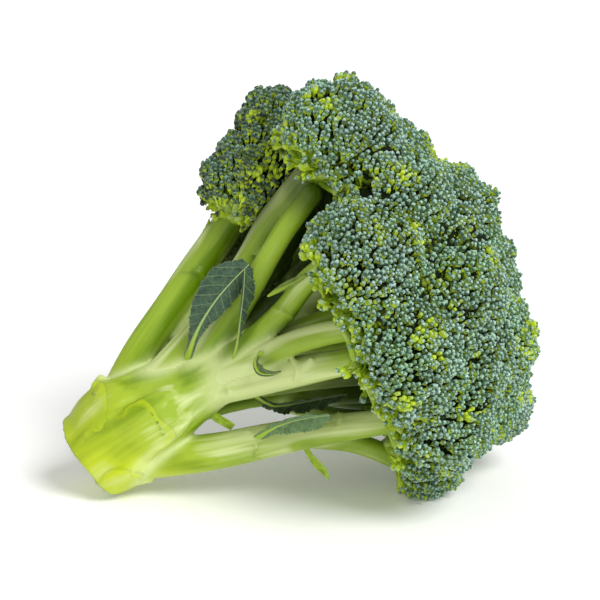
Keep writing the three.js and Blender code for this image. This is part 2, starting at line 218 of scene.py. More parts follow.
# The florets whose buds go further round
WIDE_RIMS = {"floret_upper_left": 152, "floret_upper_far": 135, "floret_top": 132,
             "floret_near_bottom": 128, "floret_near_high": 124}
FLORET_ROOT = np.array([-50, 0, 34])  # the florets' branches fan out from here
CROWN_POLE = np.array([0.94, 0.05, 0.34])  # the youngest, smallest buds face this way

# Places where the buds are riper and more yellow: x, y, z and the patch's radius
RIPE_PATCHES = [
    [0, -20, 137, 6], [36, -63, 56, 9], [38, -62, 78, 5], [4, -45, 98, 7], [17, -56, 60, 6],
    [84, -10, 66, 7], [22, -52, 90, 4], [52, -48, 84, 4], [70, -22, 84, 5], [30, 20, 142, 5],
    [60, 60, 80, 7], [20, 66, 66, 7], [82, 28, 60, 6], [-22, 2, 104, 4], [43, -60, 82, 9],
    [21, -60, 70, 6], [9, -45, 87, 8], [-4, -22, 146, 5], [-3, -24, 130, 5], [29, -40, 121, 5],
    [33, -62, 64, 6], [46, -62, 70, 5], [26, -45, 30, 8], [-34, -6, 112, 5],
]

# Painted shade: what is taken off the buds' tint, which goes from 0 for dark to 1 for light, in the florets
# at the upper left, which stand in the others' shade
SHADES = {"floret_upper_left": 0.7, "floret_upper_far": 0.7}

# Hollows between the branches, where painted shade darkens the skin: x, y, z and reach
HOLLOWS = [[-10, 3, 70, 16], [6, 2, 78, 15]]

# Each leaf: points x, y, z of its midrib, the half widths of its two sides there, the way its blade
# spreads, its fold along the midrib in degrees, how far it cups, how yellow it is from 0 to 1, and how
# light it is beside the leaf colour. The low lightness of the folded leaf, the collar and the leaf behind is
# painted shade.
LEAVES = {
    "leaf_large": {
        "path": [[-41, -7.5, 52.5], [-39.2, -12, 57.6], [-37.2, -14.8, 63.4], [-34, -16.2, 70.2],
                 [-28.8, -16.4, 78.1], [-23.5, -15.6, 84.1], [-17.9, -13.5, 89.4]],
        "left": [1.7, 1.6, 3.0, 6.4, 8.4, 8.6, 3.4], "right": [1.7, 1.6, 1.8, 4.0, 5.8, 5.2, 1.4],
        "across": [0.8, -0.1, -0.6], "fold": 14, "cup": 0.12, "yellow": 0.0, "light": 0.8},
    "leaf_folded": {
        "path": [[-24, -14.5, 54], [-23, -19, 58.4], [-21.7, -20.5, 64.6], [-20.5, -21, 73.5],
                 [-19.4, -21, 82.5], [-19, -20, 89.8]],
        "left": [1.0, 0.9, 0.9, 1.2, 1.6, 0.8], "right": [1.0, 0.9, 0.9, 2.8, 4.8, 3.2],
        "across": [0.96, -0.28, 0], "fold": 46, "cup": 0.05, "yellow": 0.0, "light": 0.6},
    "leaf_high_stub": {
        "path": [[-11, -22.5, 80.5], [-6.3, -25, 83.8], [-1.7, -28, 87], [2, -31, 90]],
        "left": [0.5, 1.6, 1.6, 0.8], "right": [0.5, 1.4, 1.4, 0.8],
        "across": [0.6, -0.2, -0.7], "fold": 35, "cup": 0.1, "yellow": 0.75, "light": 0.8},
    "leaf_collar": {
        "path": [[-13.2, -24.8, 61], [-15.2, -26.4, 57.6], [-14.2, -27.6, 54.8], [-10.4, -28, 54],
                 [-6.6, -27.6, 54.8]],
        "left": [0.8, 1.0, 1.2, 0.9, 0.4], "right": [0.5, 2.2, 4.2, 3.0, 0.4],
        "across": [0.6, -0.35, 0.7], "fold": 15, "cup": 0.1, "yellow": 0.3, "light": 0.6},
    "leaf_low": {
        "path": [[-16, -14, 25.4], [-12.6, -18, 29.2], [-7.8, -21, 32.8], [-1.8, -22.8, 35.4],
                 [4.2, -24.4, 37.2], [10.6, -26, 38.4]],
        "left": [1.3, 2.4, 4.4, 5.4, 5.6, 2.6], "right": [1.3, 2.2, 3.8, 4.6, 4.8, 2.2],
        "across": [-0.5, -0.5, 0.7], "fold": 20, "cup": 0.12, "yellow": 0.12, "light": 1.5},
    "leaf_behind": {
        "path": [[-16.5, -11, 41.5], [-9.5, -7, 35.8], [0, -4, 35.8], [9, -3, 37.2], [17, -3, 38.6]],
        "left": [1.3, 3.4, 5.2, 4.8, 1.2], "right": [1.3, 3.4, 5.2, 4.8, 1.2],
        "across": [-0.2, -0.7, 0.7], "fold": 20, "cup": 0.1, "yellow": 0.1, "light": 0.55},
    "leaf_hanging": {
        "path": [[1.6, -12, 22.4], [4, -14.4, 18.8], [6.2, -15.6, 16.4], [8.6, -16, 14],
                 [10.3, -16, 10.6]],
        "left": [1.0, 1.2, 1.6, 1.6, 0.4], "right": [1.0, 1.2, 1.8, 1.4, 0.4],
        "across": [0.7, -0.2, 0.6], "fold": 25, "cup": 0.1, "yellow": 1.0, "light": 1.3},
    "leaf_gap_stub": {
        "path": [[-34, -6.4, 36], [-31, -7.4, 32], [-26.6, -8, 29.2], [-24.2, -8, 27.6]],
        "left": [1.4, 1.9, 1.9, 1.5], "right": [1.4, 1.9, 1.9, 1.5],
        "across": [0.6, -0.3, 0.7], "fold": 10, "cup": 0.1, "yellow": 1.0, "light": 1.1},
}

# The outline of one bud from its short stalk to its tip: height as a share of the bud's length, and
# radius as a share of half its width
BUD_OUTLINE = [[-0.3, 0.2], [0.05, 0.4], [0.42, 0.97], [0.8, 0.84]]
BUD_SIDES = 8
BUD_SEPALS = 4
SEPAL_RIDGE = 0.18  # height of a sepal's back by the bud's radius
BUD_FOOT = 0.04  # how far the foot's end bulges, by the bud's length

# The camera of the photograph: it looks along +Y and down, in millimetres and degrees
CAMERA_TARGET = np.array([0, 0, 73])
CAMERA_ELEVATION = 15
CAMERA_DISTANCE = 600
CAMERA_LENS = 100
CAMERA_SENSOR = 36

# The way that the soft light shines
KEY_DIRECTION = (-0.45, 0.52, -0.72)


def linear(hex_colour):
    """An sRGB hex colour as linear light: a straight line near black and a power of 2.4 above it."""
    shares = [int(hex_colour[i:i + 2], 16) / 255 for i in (1, 3, 5)]
    return [s / 12.92 if s <= 0.04045 else ((s + 0.055) / 1.055) ** 2.4 for s in shares]


def length_of(name, description, millimetres):
    """A size that a user would change."""
    return FloatProperty(name=name, description=description, default=millimetres * MM, min=0,
                         unit="LENGTH", precision=5)


def colour_of(name, description, hex_colour):
    """A colour that a user would change."""
    return FloatVectorProperty(name=name, description=description, default=linear(hex_colour), size=3,
                               subtype="COLOR", min=0, max=1)


class StemSizes(bpy.types.PropertyGroup):
    """Sizes of the skin that covers the stalk and the branches"""
    skin_step: length_of("Skin step", "Distance between two points of the skin", 0.94)
    fillet: length_of("Fillet", "Width over which two stems grow into each other", 1.5)
    rim: length_of("Cut rim", "Rounding of the rim of the cut", 0.6)
    ridge: FloatProperty(name="Ridges", description="Height of a stem's ridges by its radius",
                         default=0.05, min=0, max=0.2)


class FloretSizes(bpy.types.PropertyGroup):
    """Sizes of the florets and their buds"""
    bud_width: length_of("Bud width", "Width of a full-grown bud", 1.95)
    bud_length: length_of("Bud length", "Length of a full-grown bud above its stalk", 3.7)
    bud_spacing: length_of("Bud spacing", "Distance between two full-grown buds", 2.35)
    cluster_spacing: length_of("Cluster spacing", "Distance between two clusters of buds", 5.5)
    cluster_height: length_of("Cluster height", "Height of a cluster over the creases round it", 0.8)
    lobe_spacing: length_of("Lobe spacing", "Distance between two lobes of a floret", 11)
    lobe_height: length_of("Lobe height", "Height of a lobe over the furrows round it", 2.5)
    furrow: length_of("Furrow fill", "How softly one floret meets the next", 3.4)
    young_bud: FloatProperty(name="Young buds", description="Size of the buds at the crown's pole",
                             default=0.84, min=0.4, max=1)
    inner_bud: FloatProperty(name="Inner buds", description="Size of the buds in the middle of a lobe",
                             default=0.66, min=0.4, max=1)
    upright: FloatProperty(name="Upright", description="How far the buds turn towards the branch's way",
                           default=1.2, min=0, max=2)


class LeafSizes(bpy.types.PropertyGroup):
    """Sizes of the leaves"""
    thickness: length_of("Blade thickness", "Thickness of the blade", 0.45)
    midrib: length_of("Midrib height", "How far the midrib stands out of the blade", 0.55)
    tooth: length_of("Tooth depth", "Depth of the teeth of the margin", 0.95)
    tooth_spacing: length_of("Tooth spacing", "Distance between two teeth of the margin", 2.3)
    vein_spacing: length_of("Vein spacing", "Distance between two side veins", 4.2)


class Colours(bpy.types.PropertyGroup):
    """Colours of the tissues and of the floor"""
    skin_pale: colour_of("Pale skin", "Stem skin on ridges and in axils", "#d2df98")
    skin_mid: colour_of("Skin", "Stem skin", "#98b436")
    skin_dark: colour_of("Dark skin", "Stem skin along the green streaks", "#6c8e04")
    # Painted shade: the deep green painted on the skin among the branches and under the crown
    skin_painted_shade: colour_of("Deep skin", "Stem skin under the crown", "#344d07")
    skin_yellow: colour_of("Yellow skin", "Stem skin near the cut", "#bccc10")
    pit: colour_of("Pit", "The torn veins in a leaf cushion", "#5f7d18")
    cut: colour_of("Cut", "The pith in the cut face", "#d4dd8c")
    bud_stalk: colour_of("Bud stalk", "The short stalk and the base of a bud", "#bdd62a")
    # Partly painted light: the tip is paler as a painted highlight besides its waxy bloom, and the side
    # darker as painted shade
    bud_side: colour_of("Bud side", "The side of a bud", "#497257")
    bud_tip: colour_of("Bud tip", "The waxy tip of a bud", "#97b79c")
    bud_ripe: colour_of("Ripe bud", "A bud that is about to open", "#bdd42a")
    twig: colour_of("Twig", "The twigs under a floret", "#9dbb30")
    # Painted shade: the near-black of the shaded gaps between the buds, on the tissue there and at the foot
    # of the buds' caps
    shade: colour_of("Inner tissue", "The tissue between the buds' stalks", "#0e1a05")
    leaf: colour_of("Leaf", "The blade of a leaf", "#3f6048")
    leaf_young: colour_of("Young leaf", "The blade of a young leaf", "#a0bf2c")
    vein: colour_of("Vein", "The midrib and the side veins", "#9cb57c")
    floor: colour_of("Floor", "The floor", "#fbfbfa")


class StageSizes(bpy.types.PropertyGroup):
    """Floor and light"""
    floor_size: FloatProperty(name="Floor size", description="Side of the floor", default=6, unit="LENGTH")
    glow: FloatProperty(name="Floor glow", description="Light from under the white board", default=0.12,
                        min=0)
    sky: FloatProperty(name="Sky", description="Brightness of the white room", default=0.5, min=0)
    key: FloatProperty(name="Key light", description="Strength of the soft light from above", default=2.6,
                       min=0)
    spread: FloatProperty(name="Key spread", description="Angle that the soft light spans", default=0.5,
                          min=0, max=3.1, subtype="ANGLE")


# Making meshes, nodes and routes

def fill(tree, node, sockets):
    """Sets a node's sockets. Each takes a value, an output that is linked to it, or a node, whose first
    output in use is linked. A socket that has no name of its own goes by its place: 0 to 2 are the values of
    a Math node, 1 to 4 the ends of the two ranges of a Map Range node, 6 and 7 the colours of a Mix node."""
    for socket, value in sockets.items():
        if isinstance(value, bpy.types.Node):
            value = next(output for output in value.outputs if output.enabled)
        if isinstance(value, bpy.types.NodeSocket):
            tree.links.new(value, node.inputs[socket])
        else:
            node.inputs[socket].default_value = value


def add(tree, kind, sockets=None, stops=None, **settings):
    """Adds a shader node with its settings, its sockets and the stops of its ramp."""
    node = tree.nodes.new("ShaderNode" + kind)
    for name, value in settings.items():
        setattr(node, name, value)
    fill(tree, node, sockets or {})
    if stops:
        elements = node.color_ramp.elements
        while len(elements) < len(stops):
            elements.new(1)
        for element, (position, colour) in zip(elements, stops):
            element.position = position
            element.color = (*colour[:3], 1)
    return node


def new_material(name):
    """A material with one principled shader on its output, and its node tree."""
    material = bpy.data.materials.new(name)
    material.use_nodes = True
    tree = material.node_tree
    return material, tree, tree.nodes["Principled BSDF"]


def blend(first, second, share):
    """A colour between two."""
    return [(1 - share) * a + share * b for a, b in zip(first, second)]


def per_metre(size):
    """How many times a pattern of this size fits in a metre, as Object coordinates want it."""
    return 1 / (size * MM)


def grey(value):
    """A grey for a ramp that holds a number."""
    return (value, value, value)


NO_TRIANGLES = np.zeros((0, 3), int)


def mesh_of(name, points, quads, triangles, attributes=None):
    """A smooth mesh from points in millimetres of the lists above, moved into the frame, in metres."""
    mesh = bpy.data.meshes.new(name)
    placed = (np.asarray(points) - HEAD_CENTRE) * MM
    corners = np.concatenate([np.ravel(quads), np.ravel(triangles)]).astype(np.int32)
    starts = np.concatenate([np.arange(len(quads)) * 4, len(quads) * 4 + np.arange(len(triangles)) * 3])
    mesh.vertices.add(len(placed))
    mesh.vertices.foreach_set("co", placed.astype(np.float32).ravel())
    mesh.loops.add(len(corners))
    mesh.loops.foreach_set("vertex_index", corners)
    mesh.polygons.add(len(starts))
    mesh.polygons.foreach_set("loop_start", starts.astype(np.int32))
    mesh.polygons.foreach_set("use_smooth", np.ones(len(starts), bool))
    mesh.update(calc_edges=True)
    if mesh.validate():
        raise RuntimeError(f"the mesh of {name} had faces that aren't valid")
    for title, values in (attributes or {}).items():
        kind, field = {1: ("FLOAT", "value"), 3: ("FLOAT_VECTOR", "vector"), 4: ("FLOAT_COLOR", "color")}[
            1 if values.ndim == 1 else values.shape[1]]
        layer = mesh.attributes.new(title, kind, "POINT")
        layer.data.foreach_set(field, values.astype(np.float32).ravel())
    return mesh


def add_piece(name, mesh, nodes, materials):
    """A piece of the object: it stands for the CAD nodes named, and rides with the root body."""
    piece = bpy.data.objects.new(name, mesh)
    bpy.context.scene.collection.objects.link(piece)
    for material in materials:
        mesh.materials.append(material)
    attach(piece, "root")
    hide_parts(*nodes)
    return piece


def unit(vectors):
    """Each vector divided by its length."""
    return vectors / np.maximum(np.linalg.norm(vectors, axis=-1, keepdims=True), 1e-9)


def bell(values, place, reach):
    """exp(-((value - place) / reach)^2): 1 at the place, and near 0 two reaches away from it."""
    return np.exp(-((values - place) / reach) ** 2)


def smooth_step(low, high, values):
    """0 up to low, 1 from high on, and 3t^2 - 2t^3 between them."""
    t = np.clip((values - low) / (high - low), 0, 1)
    return t * t * (3 - 2 * t)


def smooth_route(points, step):
    """A curve through the points, with a sample about every step. Between two points it is the cubic
    whose end slopes are the differences to the neighbours, weighed by the square roots of the gaps."""
    points = np.asarray(points, float)
    padded = np.vstack([2 * points[0] - points[1], points, 2 * points[-1] - points[-2]])
    gaps = np.sqrt(np.linalg.norm(np.diff(padded[:, :3], axis=0), axis=1))
    pieces = []
    for i in range(len(points) - 1):
        before, start, end, after = padded[i:i + 4]
        first, middle, last = gaps[i:i + 3]
        rise = (end - start) / middle
        leave = middle * ((start - before) / first - (end - before) / (first + middle) + rise)
        arrive = middle * (rise - (after - start) / (middle + last) + (after - end) / last)
        count = max(2, round(middle ** 2 / step))
        t = (np.arange(count) / count)[:, None]
        pieces.append((2 * t**3 - 3 * t**2 + 1) * start + (t**3 - 2 * t**2 + t) * leave
                      + (3 * t**2 - 2 * t**3) * end + (t**3 - t**2) * arrive)
    return np.vstack([*pieces, points[-1:]])


def frames_along(places, side):
    """Along a route: the distance travelled, the direction, the part of `side` across it, and the third
    axis, which is the cross product of the two."""
    steps = np.linalg.norm(np.diff(places, axis=0), axis=1)
    along = np.concatenate([[0], np.cumsum(steps)])
    direction = unit(np.gradient(places, axis=0))
    across = unit(side - (direction @ side)[:, None] * direction)
    return along, direction, across, np.cross(direction, across)


# Stems

STEM_SIDE = np.array([0.0, 1, 0])
STEM_SAMPLE = 2.5  # distance between two samples of a stem's route
FAR = 50.0  # stands for any distance too far to matter

# Waves of a cushion's edge: their height, and how fast they run along the stalk and round it
CUSHION_WAVES = [(0.7, 0.4, 4), (0.4, 0.8, -7)]
CUSHION_LENGTH = 20  # a cushion's edge begins to stand out this far below its upper end
CUSHION_HEAD = 7  # and stands out fully from this far below it
LIP_HEIGHT = 0.5  # also the depth of the groove
LIP_INSET = 1.4  # from the edge to the top of the lip
LIP_REACH = 1.1
GROOVE_OFFSET = 0.9  # from the edge to the bottom of the groove
GROOVE_REACH = 1.0
PIT_DEPTH = 0.9
# The stalk's waist: how deep, where along the stalk, over which length, and the angle of its middle
WAIST = {"depth": 1.3, "along": 9, "reach": 7, "angle": 100}

# Ridges of a stem: 3 large ones and 5 small ones, which turn one radian over these lengths
LARGE_TWIST = 34
SMALL_TWIST = 21
SMALL_RIDGE = 0.7  # height of a small ridge by that of a large one
RIDGE_TURN = 1.3  # how far each stem's ridges are turned from the last one's, in radians
RELIEF_REACH = 2.5  # nothing stands out of a stem by more than this

SCAR_POINTS = 9
SCAR_LEAN = 3.2  # how far an arc's ends lie behind its middle
SCAR_LIFT = 0.4  # how far a scar stands off the skin, if its list doesn't say
SCAR_FORWARD = 0.3
SCAR_FILLET = 0.9
SHOOT_FILLET = 0.8
SKIN_MARGIN = 6  # room round the stems in the grid
SKIN_ROUNDS = 2  # of smoothing
FLOOR_CLEARANCE = 0.02


def around(angle, middle):
    """Angle from a middle angle in degrees, in radians from -pi to pi."""
    return np.mod(angle - math.radians(middle) + math.pi, 2 * math.pi) - math.pi


def cushion_distance(cushion, along, angle, radius):
    """Signed distance to a leaf cushion's edge, in millimetres, negative inside. In the plane of the way
    round the stalk and the way along it, a cushion is a strip with a rounded end and a wavy edge."""
    wave = sum(height * np.sin(lengthwise * along + crosswise * angle)
               for height, lengthwise, crosswise in CUSHION_WAVES)
    beside = np.abs(around(angle, cushion["angle"])) * radius - cushion["half_width"] + CUSHION_CORNER
    beyond = along - cushion["top"] + CUSHION_CORNER
    outside = np.hypot(np.maximum(beside, 0), np.maximum(beyond, 0))
    return outside + np.minimum(np.maximum(beside, beyond), 0) - CUSHION_CORNER + wave


def cushion_fade(cushion, along):
    """How strongly a cushion's edge stands out: fully at its head, and not at all a cushion's length below
    its upper edge."""
    return smooth_step(cushion["top"] - CUSHION_LENGTH, cushion["top"] - CUSHION_HEAD, along)


def pit_distance(along, angle, radius):
    """Distance to the edge of the nearest pit, in millimetres, negative inside."""
    nearest = np.full(np.broadcast(along, angle).shape, FAR, np.float32)
    for place, middle, size in PITS:
        gap = np.hypot(along - place, around(angle, middle) * radius) - size
        nearest = np.minimum(nearest, gap)
    return nearest


def cushion_height(along, angle, radius):
    """How far the leaf cushions raise the stalk: each rises towards its upper end, has a low lip along its
    edge, and drops to a shallow groove outside it. The pits are sunk into them, and the stalk has a
    waist on top, below the highest cushion."""
    height = np.zeros(np.broadcast(along, angle).shape, np.float32)
    for cushion in CUSHIONS:
        distance = cushion_distance(cushion, along, angle, radius)
        lip = LIP_HEIGHT * bell(distance, -LIP_INSET, LIP_REACH)
        groove = LIP_HEIGHT * bell(distance, GROOVE_OFFSET, GROOVE_REACH)
        raised = cushion["height"] * smooth_step(0.5, -1.2, distance)
        rise = (raised + lip - groove) * cushion_fade(cushion, along)
        height = np.where(np.abs(rise) > np.abs(height), rise, height)
    on_top = smooth_step(1.0, 0.4, np.abs(around(angle, WAIST["angle"])))
    waist = WAIST["depth"] * bell(along, WAIST["along"], WAIST["reach"]) * on_top
    return height - waist - PIT_DEPTH * smooth_step(0.5, -0.6, pit_distance(along, angle, radius))


def unite(field, other, width):
    """Soft union of two distance fields: their minimum, lowered by up to a quarter of the width over which
    the two grow into each other."""
    near = np.clip(1 - np.abs(field - other) / width, 0, 1)
    return np.minimum(field, other) - near * near * width / 4


class Grid:
    """A box of evenly spaced points, and the distance to the skin at each of them."""

    def __init__(self, low, high, step):
        self.low, self.step = np.asarray(low, float), step
        shape = np.ceil((np.asarray(high) - self.low) / step).astype(int) + 1
        self.axes = np.ix_(*(self.low[i] + np.arange(shape[i]) * step for i in range(3)))
        self.field = np.full(shape, FAR, np.float32)

    def window(self, low, high):
        """Slices of the field that hold a box, and the coordinates of their points on each axis."""
        first = np.maximum(np.floor((low - self.low) / self.step).astype(int), 0)
        last = np.minimum(np.ceil((high - self.low) / self.step).astype(int) + 1, self.field.shape)
        axes = [self.low[i] + np.arange(first[i], last[i]) * self.step for i in range(3)]
        return tuple(slice(a, b) for a, b in zip(first, last)), np.ix_(*axes)


def add_stem(grid, route, fillet, phase=0, ridge=0, with_cushions=False):
    """Unites a stem with the field. Its distance is that to the nearest of the route's short cones, less
    a relief: two waves round the stem that turn slowly along it, and the leaf cushions."""
    places, radii = route[:, :3], route[:, 3]
    along, _, across, third = frames_along(places, STEM_SIDE)
    reach = fillet + RELIEF_REACH
    whole, _ = grid.window(places.min(0) - radii.max() - reach, places.max(0) + radii.max() + reach)
    stem = np.full(grid.field[whole].shape, FAR, np.float32)
    for i in range(len(places) - 1):
        margin = max(radii[i], radii[i + 1]) + reach
        window, axes = grid.window(np.minimum(places[i], places[i + 1]) - margin,
                                   np.maximum(places[i], places[i + 1]) + margin)
        local = tuple(slice(w.start - s.start, w.stop - s.start) for w, s in zip(window, whole))
        step = places[i + 1] - places[i]
        offset = [axis - place for axis, place in zip(axes, places[i])]
        share = np.clip(sum(o * s for o, s in zip(offset, step)) / (step @ step), 0, 1)
        offset = [o - share * s for o, s in zip(offset, step)]
        distance = np.sqrt(sum(o * o for o in offset))
        angle = np.arctan2(sum(o * s for o, s in zip(offset, third[i])),
                           sum(o * s for o, s in zip(offset, across[i])))
        travelled = along[i] + share * (along[i + 1] - along[i])
        radius = radii[i] + share * (radii[i + 1] - radii[i])
        waves = (np.cos(3 * angle + phase + travelled / LARGE_TWIST)
                 + SMALL_RIDGE * np.cos(5 * angle - phase - travelled / SMALL_TWIST))
        value = distance - radius * (1 - ridge + ridge * waves / (1 + SMALL_RIDGE))
        if with_cushions:
            value = value - cushion_height(travelled, angle, radius)
        stem[local] = np.minimum(stem[local], value)
    grid.field[whole] = unite(grid.field[whole], stem, fillet)


def add_scar(grid, route, scar):
    """Unites the low lip of a leaf scar: a thick arc round part of its stem, whose ends lean back along the
    stem by 1 - cos of the way from the middle, and thin out."""
    along, direction, across, third = frames_along(route[:, :3], STEM_SIDE)
    half = math.radians(scar["span"]) / 2
    turns = np.linspace(-half, half, SCAR_POINTS)
    angles = turns + math.radians(scar["angle"])
    bend = np.cos(turns / half * math.pi / 2)
    travelled = scar["along"] - SCAR_LEAN * (1 - bend)
    centre, forward, side, up = (
        np.stack([np.interp(travelled, along, values[:, k]) for k in range(3)], 1)
        for values in (route[:, :3], direction, across, third))
    radius = np.interp(travelled, along, route[:, 3]) + scar.get("lift", SCAR_LIFT)
    out = np.cos(angles)[:, None] * side + np.sin(angles)[:, None] * up
    places = centre + out * radius[:, None] + forward * SCAR_FORWARD
    thickness = scar["size"] * (0.45 + 0.55 * bend)
    add_stem(grid, np.column_stack([places, thickness]), SCAR_FILLET)


def skin_of(grid):
    """The surface where the field is zero: one point in each cell that it crosses, at the mean of the
    crossings of the cell's edges, and one quad for each crossed edge, joining the four cells round it."""
    field, shape = grid.field, np.array(grid.field.shape)
    quads, crossings = [], []
    for axis in range(3):
        start = field[tuple(slice(0, -1) if k == axis else slice(None) for k in range(3))]
        end = field[tuple(slice(1, None) if k == axis else slice(None) for k in range(3))]
        index = np.argwhere((start < 0) != (end < 0))
        a, b = start[tuple(index.T)], end[tuple(index.T)]
        place = index.astype(float)
        place[:, axis] += a / (a - b)
        u, v = (axis + 1) % 3, (axis + 2) % 3
        ring = []
        for du, dv in ((0, 0), (-1, 0), (-1, -1), (0, -1)):
            cell = index.copy()
            cell[:, u] += du
            cell[:, v] += dv
            ring.append(np.ravel_multi_index(tuple(cell.T), tuple(shape)))
        quad = np.stack(ring, 1)
        quad[a > 0] = quad[a > 0][:, ::-1]
        quads.append(quad)
        crossings.append(np.repeat(place, 4, axis=0))
    crossings = np.concatenate(crossings)
    _, corner = np.unique(np.concatenate(quads).ravel(), return_inverse=True)
    corner = corner.reshape(-1)
    counts = np.bincount(corner)
    points = np.stack([np.bincount(corner, crossings[:, k]) / counts for k in range(3)], 1)
    return grid.low + points * grid.step, corner.reshape(-1, 4)


def smooth_skin(points, quads, rounds):
    """Moves each point to the mean of its neighbours along the quads' edges, halfway, a few times."""
    edges = np.concatenate([quads[:, [i, (i + 1) % 4]] for i in range(4)])
    counts = np.bincount(edges[:, 0], minlength=len(points))[:, None]
    for _ in range(rounds):
        mean = np.stack([np.bincount(edges[:, 0], points[edges[:, 1], k], len(points))
                         for k in range(3)], 1) / counts
        points = 0.5 * points + 0.5 * mean
    return points


# Painted shade: behind, the skin is painted dark within the first distance of the florets, and fully within
# the second
DEEP_GAP = (36, 8)
BEHIND = 8  # and fully where y is beyond this
UNDER_GAP = 13  # on the upper branches it is shaded within this distance
UNDER_SHADE = 0.8
HOLLOW_CORE = 0.55  # a hollow is fully dark up to this share of its reach
SHADED_BRANCHES = ("branch_upper_mid", "branch_upper_near")
OPEN_BRANCH = "branch_upper_left"
AXIL_REACH = 2.1  # how far the pale skin of an axil spreads
YELLOW_REACH = (6, 52)  # the skin is yellow up to the first distance from the cut, and no more at the second
YELLOW_HEIGHT = (36, 10)  # and less so above the first height than below the second
YELLOW_TOP = 0.6  # the share of the yellow that is left up there
PALE_HEIGHT = (70, 92)  # the axils of the shaded branches are less pale above these heights
OPEN_SHARE = 0.85  # how much less the open branch is shaded
DARKNESSES = (0.25, 0.7)  # the least and the greatest darkness of a stem that isn't listed
STREAK_DARKNESS = 0.8
STREAK_ENDS = (8, 12)  # lengths over which a streak starts and ends
MARK_REACH = 9  # the material needs no distance beyond this one
POINTS_AT_ONCE = 4000
STEM_SHIFT = 57.0  # moves the pattern along from stem to stem, so that no two are alike


def ball_distances(points, balls):
    """Distance from each point to the surface of each ball, listed as x, y, z and radius."""
    return np.linalg.norm(points[:, None] - balls[None, :, :3], axis=2) - balls[None, :, 3]


def painted_shade_share(points, upper):
    """Painted shade for the skin at each point, from 0 to 1, by how deep among the branches it lies: in the
    hollows, behind and near the crown, and on the upper branches just under the crown."""
    gap, _ = crown_distance(points, 1.0)
    behind = smooth_step(*DEEP_GAP, gap) * smooth_step(0, BEHIND, points[:, 1])
    under = UNDER_SHADE * smooth_step(UNDER_GAP, 0, gap) * upper
    hollows = [smooth_step(reach, HOLLOW_CORE * reach, np.linalg.norm(points - [x, y, z], axis=1))
               for x, y, z, reach in HOLLOWS]
    return np.maximum.reduce([behind, under, *hollows])


def nearest_samples(points, samples, owners):
    """For each point, the sample of a stem whose surface is nearest, and how much further away the next
    stem's surface is."""
    nearest = np.zeros(len(points), int)
    junction = np.zeros(len(points))
    for i in range(0, len(points), POINTS_AT_ONCE):
        gap = ball_distances(points[i:i + POINTS_AT_ONCE], samples)
        best = gap.argmin(1)
        own = gap[np.arange(len(gap)), best]
        gap[owners[best][:, None] == owners[None]] = FAR
        nearest[i:i + POINTS_AT_ONCE] = best
        junction[i:i + POINTS_AT_ONCE] = gap.min(1) - own
    return nearest, junction


def streak_share(names, owner, along, angle, radius):
    """How strongly a darker streak shows at each point, from 0 to 1."""
    share = np.zeros(len(owner))
    for name, start, end, middle, half_width in STREAKS:
        inside = (smooth_step(start, start + STREAK_ENDS[0], along)
                  * smooth_step(end, end - STREAK_ENDS[1], along))
        beside = bell(around(angle, middle) * radius, 0, half_width)
        share = np.maximum(share, beside * inside * (owner == names.index(name)))
    return share


def cushion_marks(on_stalk, along, angle, radius):
    """For each point of the skin, the signed distance to the nearest cushion's edge, how strongly that edge
    shows, and the distance to the nearest pit. Off the stalk there are none."""
    edges = np.array([cushion_distance(cushion, along, angle, radius) for cushion in CUSHIONS])
    fades = np.array([cushion_fade(cushion, along) for cushion in CUSHIONS])
    chosen = np.abs(edges).argmin(0), np.arange(len(along))
    pit = pit_distance(along, angle, radius)
    return np.where(on_stalk, edges[chosen], FAR), fades[chosen] * on_stalk, np.where(on_stalk, pit, FAR)


def skin_attributes(points, routes, cut_place, cut_way):
    """What the skin's material reads. fibre is the place across and along the nearest stem. tone is how
    yellow, how pale and how dark the skin is, and how strongly a cushion's edge shows. inner is the painted
    shade that the skin gets by how deep among the branches it lies. edge, pit and cut are the distances to
    the nearest cushion's edge, to the nearest pit and to the plane of the cut."""
    names = list(routes)
    samples = np.concatenate(list(routes.values()))
    owners = np.concatenate([np.full(len(r), i) for i, r in enumerate(routes.values())])
    frames = [frames_along(r[:, :3], STEM_SIDE) for r in routes.values()]
    along, direction, across, third = (np.concatenate([f[k] for f in frames]) for k in range(4))
    nearest, junction = nearest_samples(points, samples, owners)
    owner, radius = owners[nearest], samples[nearest, 3]
    offset = points - samples[nearest, :3]
    travelled = along[nearest] + np.sum(offset * direction[nearest], 1)
    right = np.sum(offset * across[nearest], 1)
    up = np.sum(offset * third[nearest], 1)
    angle = np.arctan2(up, right)
    edge, fade, pit = cushion_marks(owner == 0, travelled, angle, radius)
    streak = streak_share(names, owner, travelled, angle, radius)
    beyond_cut = (points - cut_place) @ cut_way
    low = smooth_step(*YELLOW_HEIGHT, points[:, 2])
    yellow = smooth_step(YELLOW_REACH[1], YELLOW_REACH[0], -beyond_cut)
    yellow = yellow * (YELLOW_TOP + (1 - YELLOW_TOP) * low)
    upper = np.isin(owner, [names.index(name) for name in SHADED_BRANCHES])
    pale = bell(junction, 0, AXIL_REACH) * (1 - 0.7 * upper * smooth_step(*PALE_HEIGHT, points[:, 2]))
    generator = np.random.default_rng(SEED)
    darkness = generator.uniform(*DARKNESSES, len(routes))
    for name, level in DARKNESS.items():
        darkness[names.index(name)] = level
    tone = np.stack([yellow, pale, darkness[owner] + STREAK_DARKNESS * streak, fade], 1)
    # Painted shade among the branches, much less of it on the open branch
    inner = painted_shade_share(points, upper) * (1 - OPEN_SHARE * (owner == names.index(OPEN_BRANCH)))
    fibre = np.stack([right, up, travelled + STEM_SHIFT * owner], 1)
    distances = {"edge": edge, "pit": pit, "cut": beyond_cut}
    return {"fibre": fibre, "tone": tone, "inner": inner,
            **{name: values.clip(-MARK_REACH, MARK_REACH) for name, values in distances.items()}}


# Sizes of the skin's patterns, the first two across and along a stem
STREAK_SIZE = (11.11, 11.11, 83.33)
STRAND_SIZE = (1.25, 1.25, 33.33)
PIT_RAGS = 1.0
CUT_GRAIN = 0.9091
CUT_RADIUS = 18


